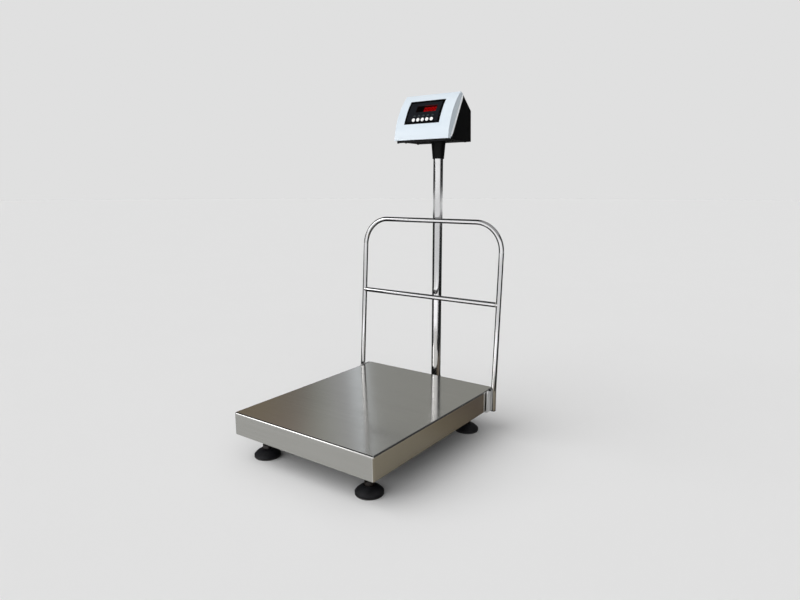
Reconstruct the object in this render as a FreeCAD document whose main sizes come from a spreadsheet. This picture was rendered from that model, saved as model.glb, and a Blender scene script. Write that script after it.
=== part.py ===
import FreeCAD, Part
import math
import os
from types import SimpleNamespace

import Sketcher
from FreeCAD import Placement, Rotation, Vector

# Animal weighing scale: a stainless pan on a load cell and a levelled base frame, a guard rail hoop
# behind the pan, and a pole that carries a swivelling display head.
# Frame: +X is the scale's right seen from the front, +Y runs to the back, +Z is up. The origin is on
# the floor, under the centre of the whole scale's box. Lengths named *_y are measured from the pan's
# centre, and pan_y puts that centre in the frame.

DRIVING = {
    "pan_width": 400.0,
    "pan_depth": 500.0,
    "pan_top": 110.9,
    "pan_skirt": 52.3,
    "pan_sheet": 1.2,
    "pan_corner": 4.0,
    "pan_bend": 3.2,
    "rivet_x": 146.0,
    "rivet_y": 156.0,
    "rivet_head": 7.0,
    "rivet_shank": 4.0,
    "stiffener_length": 340.0,
    "stiffener_width": 34.0,
    "stiffener_height": 8.0,
    "stiffener_sheet": 1.2,
    "bumper_height": 2.0,
    "bumper_width": 13.0,
    "bumper_length": 32.0,
    "top_tube": 15.0,
    "top_wall": 1.5,
    "top_gap": 2.5,
    "top_length": 490.0,
    "cross_y": 105.0,
    "plate_width": 70.0,
    "top_plate": 4.0,
    "spacer_height": 4.0,
    "spacer_length": 44.0,
    "cell_length": 150.0,
    "cell_width": 40.0,
    "cell_height": 25.0,
    "cell_bore": 17.0,
    "cell_bore_y": 14.0,
    "cell_screw_x": 12.0,
    "cell_screw_near": 43.0,
    "cell_screw_far": 65.0,
    "cell_plate": 5.0,
    "base_tube": 25.0,
    "base_wall": 2.0,
    "foot_inset": 49.4,
    "foot_pad": 60.0,
    "foot_edge": 6.5,
    "foot_dome": 19.0,
    "foot_crown": 26.0,
    "foot_journal": 14.0,
    "foot_socket_floor": 7.0,
    "foot_hex": 19.0,
    "foot_hex_height": 9.0,
    "foot_stud": 12.0,
    "foot_stud_top": 80.0,
    "foot_nut_height": 8.0,
    "running_gap": 0.1,
    "stop_gap": 0.5,
    "stop_screw": 8.0,
    "stop_hex": 13.0,
    "stop_hex_height": 5.3,
    "stop_nut_height": 6.5,
    "stop_length": 31.0,
    "level_diameter": 22.0,
    "level_height": 9.0,
    "level_vial": 15.0,
    "small_screw": 6.0,
    "small_head": 10.0,
    "small_head_height": 6.0,
    "small_socket": 5.0,
    "rail_tube": 12.7,
    "rail_wall": 1.2,
    "rail_x": 211.3,
    "rail_y": 227.4,
    "rail_lean": 3.3,
    "rail_top": 527.9,
    "rail_cross": 326.9,
    "rail_corner": 73.0,
    "rail_kink": 90.0,
    "rail_plug": 9.0,
    "bracket_sheet": 2.5,
    "bracket_front_y": 207.0,
    "bracket_rear_y": 247.0,
    "bracket_drop": 0.5,
    "bracket_tab_front_y": 146.0,
    "bracket_tab_rear_y": 187.0,
    "bracket_bolt_pitch": 22.0,
    "buffer_diameter": 7.0,
    "buffer_height": 5.0,
    "pole_tube": 25.4,
    "pole_wall": 1.5,
    "pole_y": 290.5,
    "pole_low": 51.2,
    "pole_top": 722.0,
    "socket_tube": 31.0,
    "socket_top": 90.0,
    "socket_clamp": 18.0,
    "gusset_height": 14.0,
    "collar_height": 4.0,
    "collar_diameter": 28.0,
    "pole_plate": 6.0,
    "pole_plate_width": 90.0,
    "pole_plate_front_y": 180.0,
    "pole_plate_rear_y": 314.0,
    "cable_diameter": 5.0,
    "cable_hole": 8.0,
    "cable_x": 28.0,
    "cable_low": 64.0,
    "cable_under": 54.4,
    "cable_top": 734.0,
    "clip_width": 14.0,
    "clip_length": 8.0,
    "grommet_diameter": 12.0,
    "grommet_flange": 15.0,
    "neck_low": 687.0,
    "neck_high": 728.8,
    "neck_low_diameter": 30.0,
    "neck_high_diameter": 37.5,
    "neck_roof": 3.3,
    "neck_screw": 5.0,
    "head_width": 161.0,
    "rear_width": 159.0,
    "head_wall": 2.5,
    "head_floor": 731.0,
    "head_top": 846.0,
    "plinth_front_y": 207.0,
    "plinth_chamfer": 9.0,
    "plinth_lip": 3.8,
    "plinth_lip_sheet": 3.0,
    "plinth_lip_reach": 14.0,
    "cover_radius": 182.0,
    "cover_axis_y": 386.0,
    "cover_axis_z": 711.9,
    "chord_low_y": 217.7,
    "chord_low_z": 734.5,
    "chord_high_y": 273.3,
    "chord_high_z": 842.0,
    "cover_low": 6.03,
    "cover_high": 47.5,
    "shoulder_y": 317.5,
    "shoulder_z": 805.0,
    "rear_y": 320.5,
    "seam": 0.3,
    "overlay_x": -3.4,
    "overlay_width": 104.0,
    "overlay_low": 18.7,
    "overlay_high": 40.0,
    "overlay_sheet": 0.5,
    "window_x": 0.7,
    "window_width": 60.0,
    "window_low": 28.9,
    "window_high": 34.6,
    "window_sheet": 1.5,
    "key_x": -2.4,
    "key_pitch": 13.4,
    "key_angle": 22.0,
    "key_diameter": 9.0,
    "key_proud": 1.4,
    "key_flange": 11.5,
    "key_flange_sheet": 1.2,
    "key_hole_gap": 0.4,
    "board_angle": 29.4,
    "board_width": 112.0,
    "board_height": 66.0,
    "board_sheet": 1.6,
    "board_depth": 16.0,
    "display_width": 61.0,
    "display_height": 15.6,
    "display_front": 4.2,
    "display_along": 7.3,
    "switch_along": 22.2,
    "switch_size": 6.0,
    "switch_top": 7.6,
    "plug_x": 30.0,
    "plug_along": 20.0,
    "plug_depth": 8.0,
    "battery_width": 72.0,
    "battery_depth": 15.0,
    "battery_height": 50.0,
    "battery_x": -38.0,
    "battery_low": 746.0,
    "battery_rear_y": 309.0,
    "inlet_x": 45.0,
    "inlet_z": 748.0,
    "inlet_diameter": 11.0,
    "inlet_flange": 14.0,
    "inlet_bore": 6.3,
    "inlet_pin": 2.1,
    "inlet_length": 15.0,
    "rocker_x": 18.0,
    "rocker_z": 748.0,
    "rocker_width": 9.6,
    "rocker_height": 13.8,
    "rocker_depth": 8.0,
    "rocker_pivot": 2.0,
    "rocker_proud": 2.4,
    "rocker_pin": 1.6,
    "rocker_pin_length": 11.8,
    "bezel_width": 15.0,
    "bezel_height": 21.0,
    "bezel_sheet": 1.2,
    "bezel_margin": 1.1,
    "bezel_depth": 11.0,
    "case_screw": 3.0,
    "case_screw_length": 12.0,
    "case_screw_x": 72.5,
    "case_screw_front_y": 246.0,
    "case_screw_rear_y": 303.0,
    "case_boss": 8.0,
    "case_boss_height": 14.0,
}

doc = FreeCAD.newDocument("AnimalWeighingScale")
sheet = doc.addObject("Spreadsheet::Sheet", "Sizes")
for row, (alias, number) in enumerate(DRIVING.items(), start=1):
    sheet.set(f"A{row}", alias)
    sheet.set(f"B{row}", str(number))
    sheet.setAlias(f"B{row}", alias)
doc.recompute()


class Size:
    """A size worked out from the sheet: its value, and the expression that binds it."""

    def __init__(self, text, value):
        self.text = text
        self.value = value

    def joined(self, sign, other, value):
        return Size(f"({self.text} {sign} {as_size(other).text})", value)

    def __add__(self, other):
        return self.joined("+", other, self.value + as_size(other).value)

    def __sub__(self, other):
        return self.joined("-", other, self.value - as_size(other).value)

    def __mul__(self, other):
        return self.joined("*", other, self.value * as_size(other).value)

    def __truediv__(self, other):
        return self.joined("/", other, self.value / as_size(other).value)

    def __radd__(self, other):
        return as_size(other) + self

    def __rsub__(self, other):
        return as_size(other) - self

    def __rmul__(self, other):
        return as_size(other) * self

    def __neg__(self):
        return as_size(0) - self


def as_size(number):
    return number if isinstance(number, Size) else Size(f"{number:.6f}", float(number))


def sine(angle):
    angle = as_size(angle)
    return Size(f"sin({angle.text} * 1deg)", math.sin(math.radians(angle.value)))


def cosine(angle):
    angle = as_size(angle)
    return Size(f"cos({angle.text} * 1deg)", math.cos(math.radians(angle.value)))


s = SimpleNamespace(**{alias: Size(f"Sizes.{alias}", number) for alias, number in DRIVING.items()})

# ---------------------------------------------------------------- heights and places worked out
shell_low = s.head_floor + s.seam
rear_slope = (s.rear_y - s.shoulder_y) / (s.shoulder_z - shell_low)
bezel_seat_y = s.rear_y - (s.rocker_z - s.bezel_height / 2 - shell_low) * rear_slope
rear_reach = bezel_seat_y + s.bezel_sheet + s.rocker_proud
pan_y = (s.pan_depth / 2 - rear_reach) / 2
pan_under = s.pan_top - s.pan_sheet
skirt_low = s.pan_top - s.pan_skirt
top_high = pan_under - s.bumper_height
top_low = top_high - s.top_tube
top_plate_low = top_low - s.top_plate
cell_high = top_plate_low - s.spacer_height
cell_low = cell_high - s.cell_height
cell_plate_high = cell_low - s.spacer_height
base_low = cell_plate_high - s.cell_plate
base_high = base_low + s.base_tube
base_x = s.pan_width / 2 - s.foot_inset
base_y = s.pan_depth / 2 - s.foot_inset
top_side_x = s.pan_width / 2 - s.pan_sheet - s.top_gap - s.top_tube / 2
bracket_in = s.rail_x - s.rail_tube / 2 - s.bracket_sheet
web_high = skirt_low - s.bracket_drop
web_low = web_high - s.bracket_sheet
pole_y = pan_y + s.pole_y

SIDES = {"left": -1, "right": 1}
ENDS = {"front": -1, "rear": 1}
ALONG_X = Rotation(Vector(0, 1, 0), 90)
ALONG_Y = Rotation(Vector(1, 0, 0), -90)
UPWARD = Rotation()
DOWNWARD = Rotation(Vector(1, 0, 0), 180)

nodes = []


# ---------------------------------------------------------------- tools
def bind(item, **sizes):
    for name, size in sizes.items():
        item.setExpression(name, as_size(size).text)
    return item


def put(item, x=0, y=0, z=0, turn=None):
    """Places a primitive: its turn is fixed, and its three coordinates are bound."""
    item.Placement = Placement(Vector(), turn or UPWARD)
    for axis, size in zip("xyz", (x, y, z)):
        item.setExpression(f"Placement.Base.{axis}", as_size(size).text)
    return item


def node(item, label):
    item.Label = label
    nodes.append(item)
    return item


def box(width, depth, height, x, y, z):
    """A block centred on x and y, standing on z."""
    item = bind(doc.addObject("Part::Box", "Block"), Length=width, Width=depth, Height=height)
    return put(item, as_size(x) - as_size(width) / 2, as_size(y) - as_size(depth) / 2, z)


def rod(diameter, length, x, y, z, turn=UPWARD):
    """A round rod that starts at a point and runs along the turned Z axis."""
    item = bind(doc.addObject("Part::Cylinder", "Rod"), Radius=as_size(diameter) / 2, Height=length)
    return put(item, x, y, z, turn)


def hexagon(across, height, x, y, z, turn=UPWARD):
    """A hexagonal prism given by the distance across its flats."""
    item = doc.addObject("Part::Prism", "Hexagon")
    item.Polygon = 6
    bind(item, Circumradius=as_size(across) / math.sqrt(3), Height=height)
    return put(item, x, y, z, turn)


def cone(low_diameter, high_diameter, height, x, y, z):
    item = doc.addObject("Part::Cone", "Taper")
    bind(item, Radius1=as_size(low_diameter) / 2, Radius2=as_size(high_diameter) / 2, Height=height)
    return put(item, x, y, z)


def fuse(*items):
    joined = doc.addObject("Part::MultiFuse", "Fuse")
    joined.Shapes = list(items)
    return joined


def cut(base, *tools):
    cutter = tools[0] if len(tools) == 1 else fuse(*tools)
    result = doc.addObject("Part::Cut", "Cut")
    result.Base = base
    result.Tool = cutter
    return result


def tube_box(width, depth, height, wall, x, y, z, axis):
    """A rectangular tube, open at both ends along its axis."""
    trim = {"x": 0, "y": 0}
    trim["y" if axis == "x" else "x"] = 2 * wall
    outer = box(width, depth, height, x, y, z)
    inner_width = as_size(width) - trim["x"]
    inner_depth = as_size(depth) - trim["y"]
    return cut(outer, box(inner_width, inner_depth, as_size(height) - 2 * wall, x, y, as_size(z) + wall))


def plane_of(body, role):
    return next(item for item in body.Origin.OriginFeatures if item.Role == role)


def arc_between(start, end, radius):
    """The shorter arc between two places. A positive radius has its centre on the left of the way."""
    chord = end - start
    half = chord.Length / 2
    rise = abs(radius) - math.sqrt(radius**2 - half**2)
    left = Vector(-chord.y, chord.x, 0).normalize()
    middle = (start + end) / 2 - left * math.copysign(rise, radius)
    return Part.Arc(start, middle, end)


def end_at(sketch, edge, place):
    """Which end of a sketch edge is at a place: 1 its start, 2 its end."""
    return min((1, 2), key=lambda end: sketch.getPoint(edge, end).distanceToPoint(place))


def hold(sketch, axis, edge, end, size):
    """Holds one coordinate of a sketch point at a bound size."""
    own_axis = {"X": -2, "Y": -1}[axis]
    if abs(size.value) < 1e-9:
        sketch.addConstraint(Sketcher.Constraint("PointOnObject", edge, end, own_axis))
        return
    kept = sketch.addConstraint(Sketcher.Constraint(f"Distance{axis}", -1, 1, edge, end, size.value))
    sketch.setExpression(f"Constraints[{kept}]", size.text)


def outline(body, role, points, offset=0):
    """A closed sketch. Each point is (x, y), or (x, y, radius) where an arc arrives at it."""
    sketch = body.newObject("Sketcher::SketchObject", "Outline")
    sketch.AttachmentSupport = (plane_of(body, role), [""])
    sketch.MapMode = "FlatFace"
    sketch.setExpression("AttachmentOffset.Base.z", as_size(offset).text)
    corners = [(as_size(point[0]), as_size(point[1])) for point in points]
    places = [Vector(x.value, y.value, 0) for x, y in corners]
    for edge, point in enumerate(points):
        start = places[edge - 1]
        if len(point) == 2:
            sketch.addGeometry(Part.LineSegment(start, places[edge]), False)
        else:
            sketch.addGeometry(arc_between(start, places[edge], as_size(point[2]).value), False)
    for edge, (x, y) in enumerate(corners):
        following = (edge + 1) % len(points)
        end = end_at(sketch, edge, places[edge])
        start = end_at(sketch, following, places[edge])
        sketch.addConstraint(Sketcher.Constraint("Coincident", edge, end, following, start))
        hold(sketch, "X", edge, end, x)
        hold(sketch, "Y", edge, end, y)
        if len(points[edge]) == 3:
            radius = as_size(points[edge][2])
            bound = -radius if radius.value < 0 else radius
            kept = sketch.addConstraint(Sketcher.Constraint("Radius", edge, bound.value))
            sketch.setExpression(f"Constraints[{kept}]", bound.text)
    return sketch


def prism(role, points, start, length):
    """A body padded from an outline on one of its origin planes."""
    body = doc.addObject("PartDesign::Body", "Prism")
    sketch = outline(body, role, points, start)
    pad = body.newObject("PartDesign::Pad", "Pad")
    pad.Profile = sketch
    bind(pad, Length=length)
    return body


def turned(points):
    """A body turned about the Z axis from a half outline on the XZ plane."""
    body = doc.addObject("PartDesign::Body", "Turned")
    sketch = outline(body, "XZ_Plane", points)
    turning = body.newObject("PartDesign::Revolution", "Revolution")
    turning.Profile = sketch
    turning.ReferenceAxis = (sketch, ["V_Axis"])
    turning.Angle = 360
    return body


def rounded_box(width, depth, height, side_radius, top_radius, x, y, z):
    """A block with rounded upright edges and rounded top edges."""
    block = box(width, depth, height, x, y, z)
    doc.recompute()
    sides = doc.addObject("Part::Fillet", "RoundedSides")
    sides.Base = block
    upright = [n for n, edge in enumerate(block.Shape.Edges, 1) if abs(edge.tangentAt(0).z) > 0.5]
    sides.Edges = [(n, as_size(side_radius).value, as_size(side_radius).value) for n in upright]
    doc.recompute()
    top = doc.addObject("Part::Fillet", "RoundedTop")
    top.Base = sides
    high = sides.Shape.BoundBox.ZMax
    rim = [n for n, edge in enumerate(sides.Shape.Edges, 1) if edge.BoundBox.ZMin > high - 1e-6]
    top.Edges = [(n, as_size(top_radius).value, as_size(top_radius).value) for n in rim]
    return top


def rounded_path(points, radii):
    """A wire of straight runs with a tangent arc at each inner point."""
    edges = []
    start = points[0]
    for before, corner, after, radius in zip(points, points[1:], points[2:], radii):
        back = (before - corner).normalize()
        ahead = (after - corner).normalize()
        half_turn = (math.pi - back.getAngle(ahead)) / 2
        reach = radius * math.tan(half_turn)
        into = corner + back * reach
        out = corner + ahead * reach
        bisector = (back + ahead).normalize()
        middle = corner + bisector * (radius / math.cos(half_turn) - radius)
        edges.append(Part.LineSegment(start, into).toShape())
        edges.append(Part.Arc(into, middle, out).toShape())
        start = out
    edges.append(Part.LineSegment(start, points[-1]).toShape())
    return Part.Wire(edges)


def swept(path, diameter):
    """A round solid swept along a wire."""
    first = path.OrderedEdges[0]
    start = first.valueAt(first.FirstParameter)
    ring = Part.Wire(Part.makeCircle(diameter / 2, start, first.tangentAt(first.FirstParameter)))
    solid = path.makePipeShell([ring], True, True)
    expected = math.pi * diameter**2 / 4 * path.Length
    print(f"sweep: volume {solid.Volume:.1f}, section times length {expected:.1f} cubic mm")
    return solid


def feature(shape):
    item = doc.addObject("Part::Feature", "Swept")
    item.Shape = shape
    item.Placement = Placement()
    return item


def cap_screw(x, y, seat, length, head_up=True):
    """A socket head cap screw whose head sits on a face at the seat height."""
    turn = UPWARD if head_up else DOWNWARD
    way = 1 if head_up else -1
    head = rod(s.small_head, s.small_head_height, x, y, seat, turn)
    depth = s.small_head_height / 2
    socket = hexagon(s.small_socket, depth + 1, x, y, as_size(seat) + way * depth, turn)
    shank = rod(s.small_screw, length, x, y, seat, DOWNWARD if head_up else UPWARD)
    return cut(fuse(head, shank), socket)


CORNERS = [(side, end) for end in ENDS.values() for side in SIDES.values()]


# ---------------------------------------------------------------- base frame and levelling feet
def build_base():
    side_length = 2 * base_y + s.base_tube
    cross_length = 2 * base_x - s.base_tube
    parts = []
    for side in SIDES.values():
        parts.append(
            tube_box(s.base_tube, side_length, s.base_tube, s.base_wall, side * base_x, pan_y, base_low, "y")
        )
    for end in ENDS.values():
        y = pan_y + end * base_y
        parts.append(tube_box(cross_length, s.base_tube, s.base_tube, s.base_wall, 0, y, base_low, "x"))
    run = 2 * base_y - s.base_tube
    parts.append(box(s.plate_width, run, s.cell_plate, 0, pan_y, base_low))
    bush = s.foot_stud + 8
    for side, end in CORNERS:
        parts.append(rod(bush, s.base_tube, side * base_x, pan_y + end * base_y, base_low))
    holes = []
    for side, end in CORNERS:
        foot_hole = s.foot_stud + 2 * s.running_gap
        holes.append(rod(foot_hole, s.base_tube, side * base_x, pan_y + end * base_y, base_low))
        stop_hole = s.stop_screw + 2 * s.running_gap
        wall_low = base_high - 2 * s.base_wall
        holes.append(rod(stop_hole, 2 * s.base_wall, side * base_x, pan_y + end * s.cross_y, wall_low))
    for x, y in cell_screw_places(-1):
        holes.append(rod(s.small_screw + 0.6, s.cell_plate, x, y, base_low))
    for x, y in pole_bolt_places():
        holes.append(rod(s.small_screw + 0.2, s.base_wall * 2, x, y, base_low - s.base_wall))
    rear_face = pan_y + base_y + s.base_tube / 2
    cable_way = s.base_tube
    holes.append(rod(s.grommet_diameter, cable_way, 0, rear_face - s.base_tube, s.cable_low, ALONG_Y))
    for side in SIDES.values():
        for y in rail_bolt_places():
            start = side * (base_x + s.base_tube / 2) - side * s.base_wall * 2
            turn = ALONG_X if side > 0 else Rotation(Vector(0, 1, 0), -90)
            holes.append(rod(s.small_screw + 0.2, s.base_wall * 3, start, y, bolt_z(), turn))
    node(cut(fuse(*parts), *holes), "base_frame")


def bolt_z():
    return (web_high + base_high) / 2


def rail_bolt_places():
    middle = pan_y + (s.bracket_tab_front_y + s.bracket_tab_rear_y) / 2
    return [middle - s.bracket_bolt_pitch / 2, middle + s.bracket_bolt_pitch / 2]


def cell_screw_places(end):
    return [
        (side * s.cell_screw_x, pan_y + end * along)
        for side in SIDES.values()
        for along in (s.cell_screw_near, s.cell_screw_far)
    ]


def pole_bolt_places():
    return [(side * s.pole_plate_width / 3, pan_y + base_y) for side in SIDES.values()]


def build_feet():
    journal = s.foot_journal / 2
    for end_name, end in ENDS.items():
        for side_name, side in SIDES.items():
            x = side * base_x
            y = pan_y + end * base_y
            crown = s.foot_crown / 2
            socket = journal + s.running_gap
            pad = turned(
                [
                    (0, 0),
                    (s.foot_pad / 2 - 1, 0),
                    (s.foot_pad / 2, 1.5),
                    (s.foot_pad / 2, s.foot_edge),
                    (crown, s.foot_dome, s.foot_pad * 0.7),
                    (socket, s.foot_dome),
                    (socket, s.foot_socket_floor),
                    (0, s.foot_socket_floor),
                ]
            )
            place(pad, x, y)
            node(pad, f"foot_pad_{end_name}_{side_name}")
            low = s.foot_dome + 0.6
            ball = rod(s.foot_journal, low - s.foot_socket_floor, x, y, s.foot_socket_floor)
            grip = hexagon(s.foot_hex, s.foot_hex_height, x, y, low)
            shank = rod(s.foot_stud, s.foot_stud_top - low, x, y, low)
            tip = cone(s.foot_stud, s.foot_stud - 3, 1.5, x, y, s.foot_stud_top)
            node(fuse(ball, grip, shank, tip), f"foot_stud_{end_name}_{side_name}")


def place(body, x=0, y=0, z=0):
    for axis, size in zip("xyz", (x, y, z)):
        body.setExpression(f"Placement.Base.{axis}", as_size(size).text)


def build_foot_nuts():
    nuts = []
    low = base_low - s.foot_nut_height
    for side, end in CORNERS:
        x = side * base_x
        y = pan_y + end * base_y
        nut = hexagon(s.foot_hex, s.foot_nut_height, x, y, low)
        nuts.append(cut(nut, rod(s.foot_stud + 2 * s.running_gap, s.foot_nut_height, x, y, low)))
    node(fuse(*nuts), "foot_lock_nuts")


def build_overload_stops():
    screws = []
    nuts = []
    head_low = top_low - s.stop_gap - s.stop_hex_height
    for side, end in CORNERS:
        x = side * base_x
        y = pan_y + end * s.cross_y
        head = hexagon(s.stop_hex, s.stop_hex_height, x, y, head_low)
        screws.append(fuse(head, rod(s.stop_screw, s.stop_length, x, y, head_low, DOWNWARD)))
        nut = hexagon(s.stop_hex, s.stop_nut_height, x, y, base_high)
        nuts.append(cut(nut, rod(s.stop_screw + 2 * s.running_gap, s.stop_nut_height, x, y, base_high)))
    node(fuse(*screws), "overload_stop_screws")
    node(fuse(*nuts), "overload_stop_nuts")


def build_spirit_level():
    y = pan_y - base_y
    well_depth = s.level_height - 2.5
    cup = rod(s.level_diameter, s.level_height, 0, y, base_high)
    well_low = base_high + s.level_height - well_depth
    node(cut(cup, rod(s.level_vial, well_depth, 0, y, well_low)), "spirit_level_body")
    vial_height = well_depth - 0.6
    node(rod(s.level_vial, vial_height, 0, y, well_low), "spirit_level_vial")


# ---------------------------------------------------------------- load cell and what it carries
def build_load_cell():
    beam = box(s.cell_width, s.cell_length, s.cell_height, 0, pan_y, cell_low)
    middle = (cell_low + cell_high) / 2
    bores = []
    for end in ENDS.values():
        y = pan_y + end * s.cell_bore_y
        bores.append(rod(s.cell_bore, s.cell_width, -s.cell_width / 2, y, middle, ALONG_X))
    slot = box(s.cell_width, 2 * s.cell_bore_y, s.cell_bore / 3, 0, pan_y, middle - s.cell_bore / 6)
    screw_hole = s.small_screw + 2 * s.running_gap
    for end in ENDS.values():
        for x, y in cell_screw_places(end):
            bores.append(rod(screw_hole, s.cell_height, x, y, cell_low))
    node(cut(beam, slot, *bores), "load_cell")


def spacer(end, low, label):
    y = pan_y + end * (s.cell_length / 2 - s.spacer_length / 2)
    block = box(s.cell_width, s.spacer_length, s.spacer_height, 0, y, low)
    holes = [rod(s.small_screw + 0.6, s.spacer_height, x, hole, low) for x, hole in cell_screw_places(end)]
    node(cut(block, *holes), label)


def build_cell_fixings():
    spacer(-1, cell_plate_high, "lower_cell_spacer")
    spacer(1, cell_high, "upper_cell_spacer")
    reach = s.spacer_height + s.cell_height * 0.7
    low = [cap_screw(x, y, base_low, reach + s.cell_plate, False) for x, y in cell_screw_places(-1)]
    node(fuse(*low), "lower_cell_screws")
    high = [cap_screw(x, y, top_low, reach + s.top_plate, True) for x, y in cell_screw_places(1)]
    node(fuse(*high), "upper_cell_screws")


def build_top_frame():
    cross_length = 2 * top_side_x - s.top_tube
    parts = []
    for side in SIDES.values():
        parts.append(
            tube_box(s.top_tube, s.top_length, s.top_tube, s.top_wall, side * top_side_x, pan_y, top_low, "y")
        )
    for end in ENDS.values():
        y = pan_y + end * s.cross_y
        parts.append(tube_box(cross_length, s.top_tube, s.top_tube, s.top_wall, 0, y, top_low, "x"))
    plate_length = 2 * s.cross_y + s.top_tube
    parts.append(box(s.plate_width, plate_length, s.top_plate, 0, pan_y, top_plate_low))
    holes = [rod(s.small_screw + 0.6, s.top_plate, x, y, top_plate_low) for x, y in cell_screw_places(1)]
    node(cut(fuse(*parts), *holes), "top_frame")
    pads = []
    for side, end in CORNERS:
        y = pan_y + end * (s.top_length / 2 - s.bumper_length)
        pads.append(box(s.bumper_width, s.bumper_length, s.bumper_height, side * top_side_x, y, top_high))
    node(fuse(*pads), "pan_bumpers")


# ---------------------------------------------------------------- pan
def build_pan():
    outer = rounded_box(
        s.pan_width, s.pan_depth, s.pan_skirt, s.pan_corner, s.pan_bend, 0, pan_y, skirt_low
    )
    wall = s.pan_sheet
    inner = rounded_box(
        s.pan_width - 2 * wall,
        s.pan_depth - 2 * wall,
        s.pan_skirt - wall,
        s.pan_corner - wall,
        s.pan_bend - wall,
        0,
        pan_y,
        skirt_low,
    )
    places = [(side * s.rivet_x, pan_y + end * s.rivet_y) for side, end in CORNERS]
    holes = [rod(s.rivet_head, s.pan_sheet, x, y, pan_under) for x, y in places]
    node(cut(outer, inner, *holes), "pan")
    heads = [rod(s.rivet_head, s.pan_sheet, x, y, pan_under) for x, y in places]
    shanks = [rod(s.rivet_shank, s.stiffener_sheet + 1, x, y, pan_under, DOWNWARD) for x, y in places]
    node(fuse(*[fuse(*pair) for pair in zip(heads, shanks)]), "pan_rivets")
    channels = []
    for end in ENDS.values():
        y = pan_y + end * s.rivet_y
        low = pan_under - s.stiffener_height
        block = box(s.stiffener_length, s.stiffener_width, s.stiffener_height, 0, y, low)
        hollow_width = s.stiffener_width - 2 * s.stiffener_sheet
        hollow = box(s.stiffener_length, hollow_width, s.stiffener_height - s.stiffener_sheet, 0, y, low)
        holes = [rod(s.rivet_shank, s.stiffener_height, side * s.rivet_x, y, low) for side in SIDES.values()]
        channels.append(cut(block, hollow, *holes))
    node(fuse(*channels), "pan_stiffeners")


# ---------------------------------------------------------------- guard rail
def lean_point(x, z):
    """A point of the leaning hoop's plane, which is upright below the pan's top."""
    rise = max(z - s.pan_top.value, 0)
    y = pan_y.value + s.rail_y.value + rise * math.tan(math.radians(s.rail_lean.value))
    return Vector(x, y, z)


def build_guard_rail():
    x = s.rail_x.value
    low = skirt_low.value
    high = s.rail_top.value
    kink = s.pan_top.value
    points = [
        lean_point(-x, low),
        lean_point(-x, kink),
        lean_point(-x, high),
        lean_point(x, high),
        lean_point(x, kink),
        lean_point(x, low),
    ]
    radii = [s.rail_kink.value, s.rail_corner.value, s.rail_corner.value, s.rail_kink.value]
    path = rounded_path(points, radii)
    bore = s.rail_tube.value - 2 * s.rail_wall.value
    hoop = swept(path, s.rail_tube.value)
    node(feature(hoop.cut(swept(path, bore))), "guard_rail")
    middle = lean_point(0, s.rail_cross.value)
    cross_y = middle.y
    outer = rod(s.rail_tube, 2 * s.rail_x, -s.rail_x, cross_y, s.rail_cross, ALONG_X)
    inner = rod(s.rail_tube - 2 * s.rail_wall, 2 * s.rail_x, -s.rail_x, cross_y, s.rail_cross, ALONG_X)
    node(cut(outer, inner, feature(hoop)), "rail_crossbar")
    plugs = []
    for side in SIDES.values():
        foot = lean_point(side * x, low)
        stem = rod(bore, s.rail_plug, foot.x, foot.y, low)
        plugs.append(fuse(stem, rod(s.rail_tube, 2, foot.x, foot.y, low - 2)))
    node(fuse(*plugs), "rail_end_plugs")


def build_rail_brackets():
    length = s.bracket_rear_y - s.bracket_front_y
    middle_y = pan_y + (s.bracket_rear_y + s.bracket_front_y) / 2
    tab_in = base_x + s.base_tube / 2
    tab_length = s.bracket_tab_rear_y - s.bracket_tab_front_y
    tab_y = pan_y + s.bracket_tab_front_y + tab_length / 2
    inner_length = s.bracket_rear_y - s.bracket_tab_front_y
    inner_y = pan_y + (s.bracket_rear_y + s.bracket_tab_front_y) / 2
    bolts = []
    for name, side in SIDES.items():
        half = s.bracket_sheet / 2
        plate = box(
            s.bracket_sheet, length, s.pan_top - web_low, side * (bracket_in + half), middle_y, web_low
        )
        web_width = bracket_in + s.bracket_sheet - tab_in
        web = box(web_width, length, s.bracket_sheet, side * (tab_in + web_width / 2), middle_y, web_low)
        flange = box(24, inner_length, s.bracket_sheet, side * (tab_in + 12), inner_y, web_low)
        tab_height = base_high - web_low
        tab = box(s.bracket_sheet, tab_length, tab_height, side * (tab_in + half), tab_y, web_low)
        turn = ALONG_X if side > 0 else Rotation(Vector(0, 1, 0), -90)
        holes = []
        for y in rail_bolt_places():
            x = side * (tab_in - half)
            holes.append(rod(s.small_screw + 0.6, s.bracket_sheet * 2, x, y, bolt_z(), turn))
            seat = side * (tab_in + s.bracket_sheet)
            head = hexagon(10, 4, seat, y, bolt_z(), turn)
            back = ALONG_X if side < 0 else Rotation(Vector(0, 1, 0), -90)
            bolts.append(fuse(head, rod(s.small_screw, 12, seat, y, bolt_z(), back)))
        node(cut(fuse(plate, web, flange, tab), *holes), f"rail_bracket_{name}")
    node(fuse(*bolts), "rail_bracket_bolts")
    buttons = []
    for side in SIDES.values():
        y = pan_y + s.rail_y - s.rail_tube / 2 - s.buffer_diameter / 2
        x = side * (bracket_in + s.bracket_sheet)
        buttons.append(rod(s.buffer_diameter, s.buffer_height, x, y, s.pan_top))
    node(fuse(*buttons), "rail_buffers")


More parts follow.
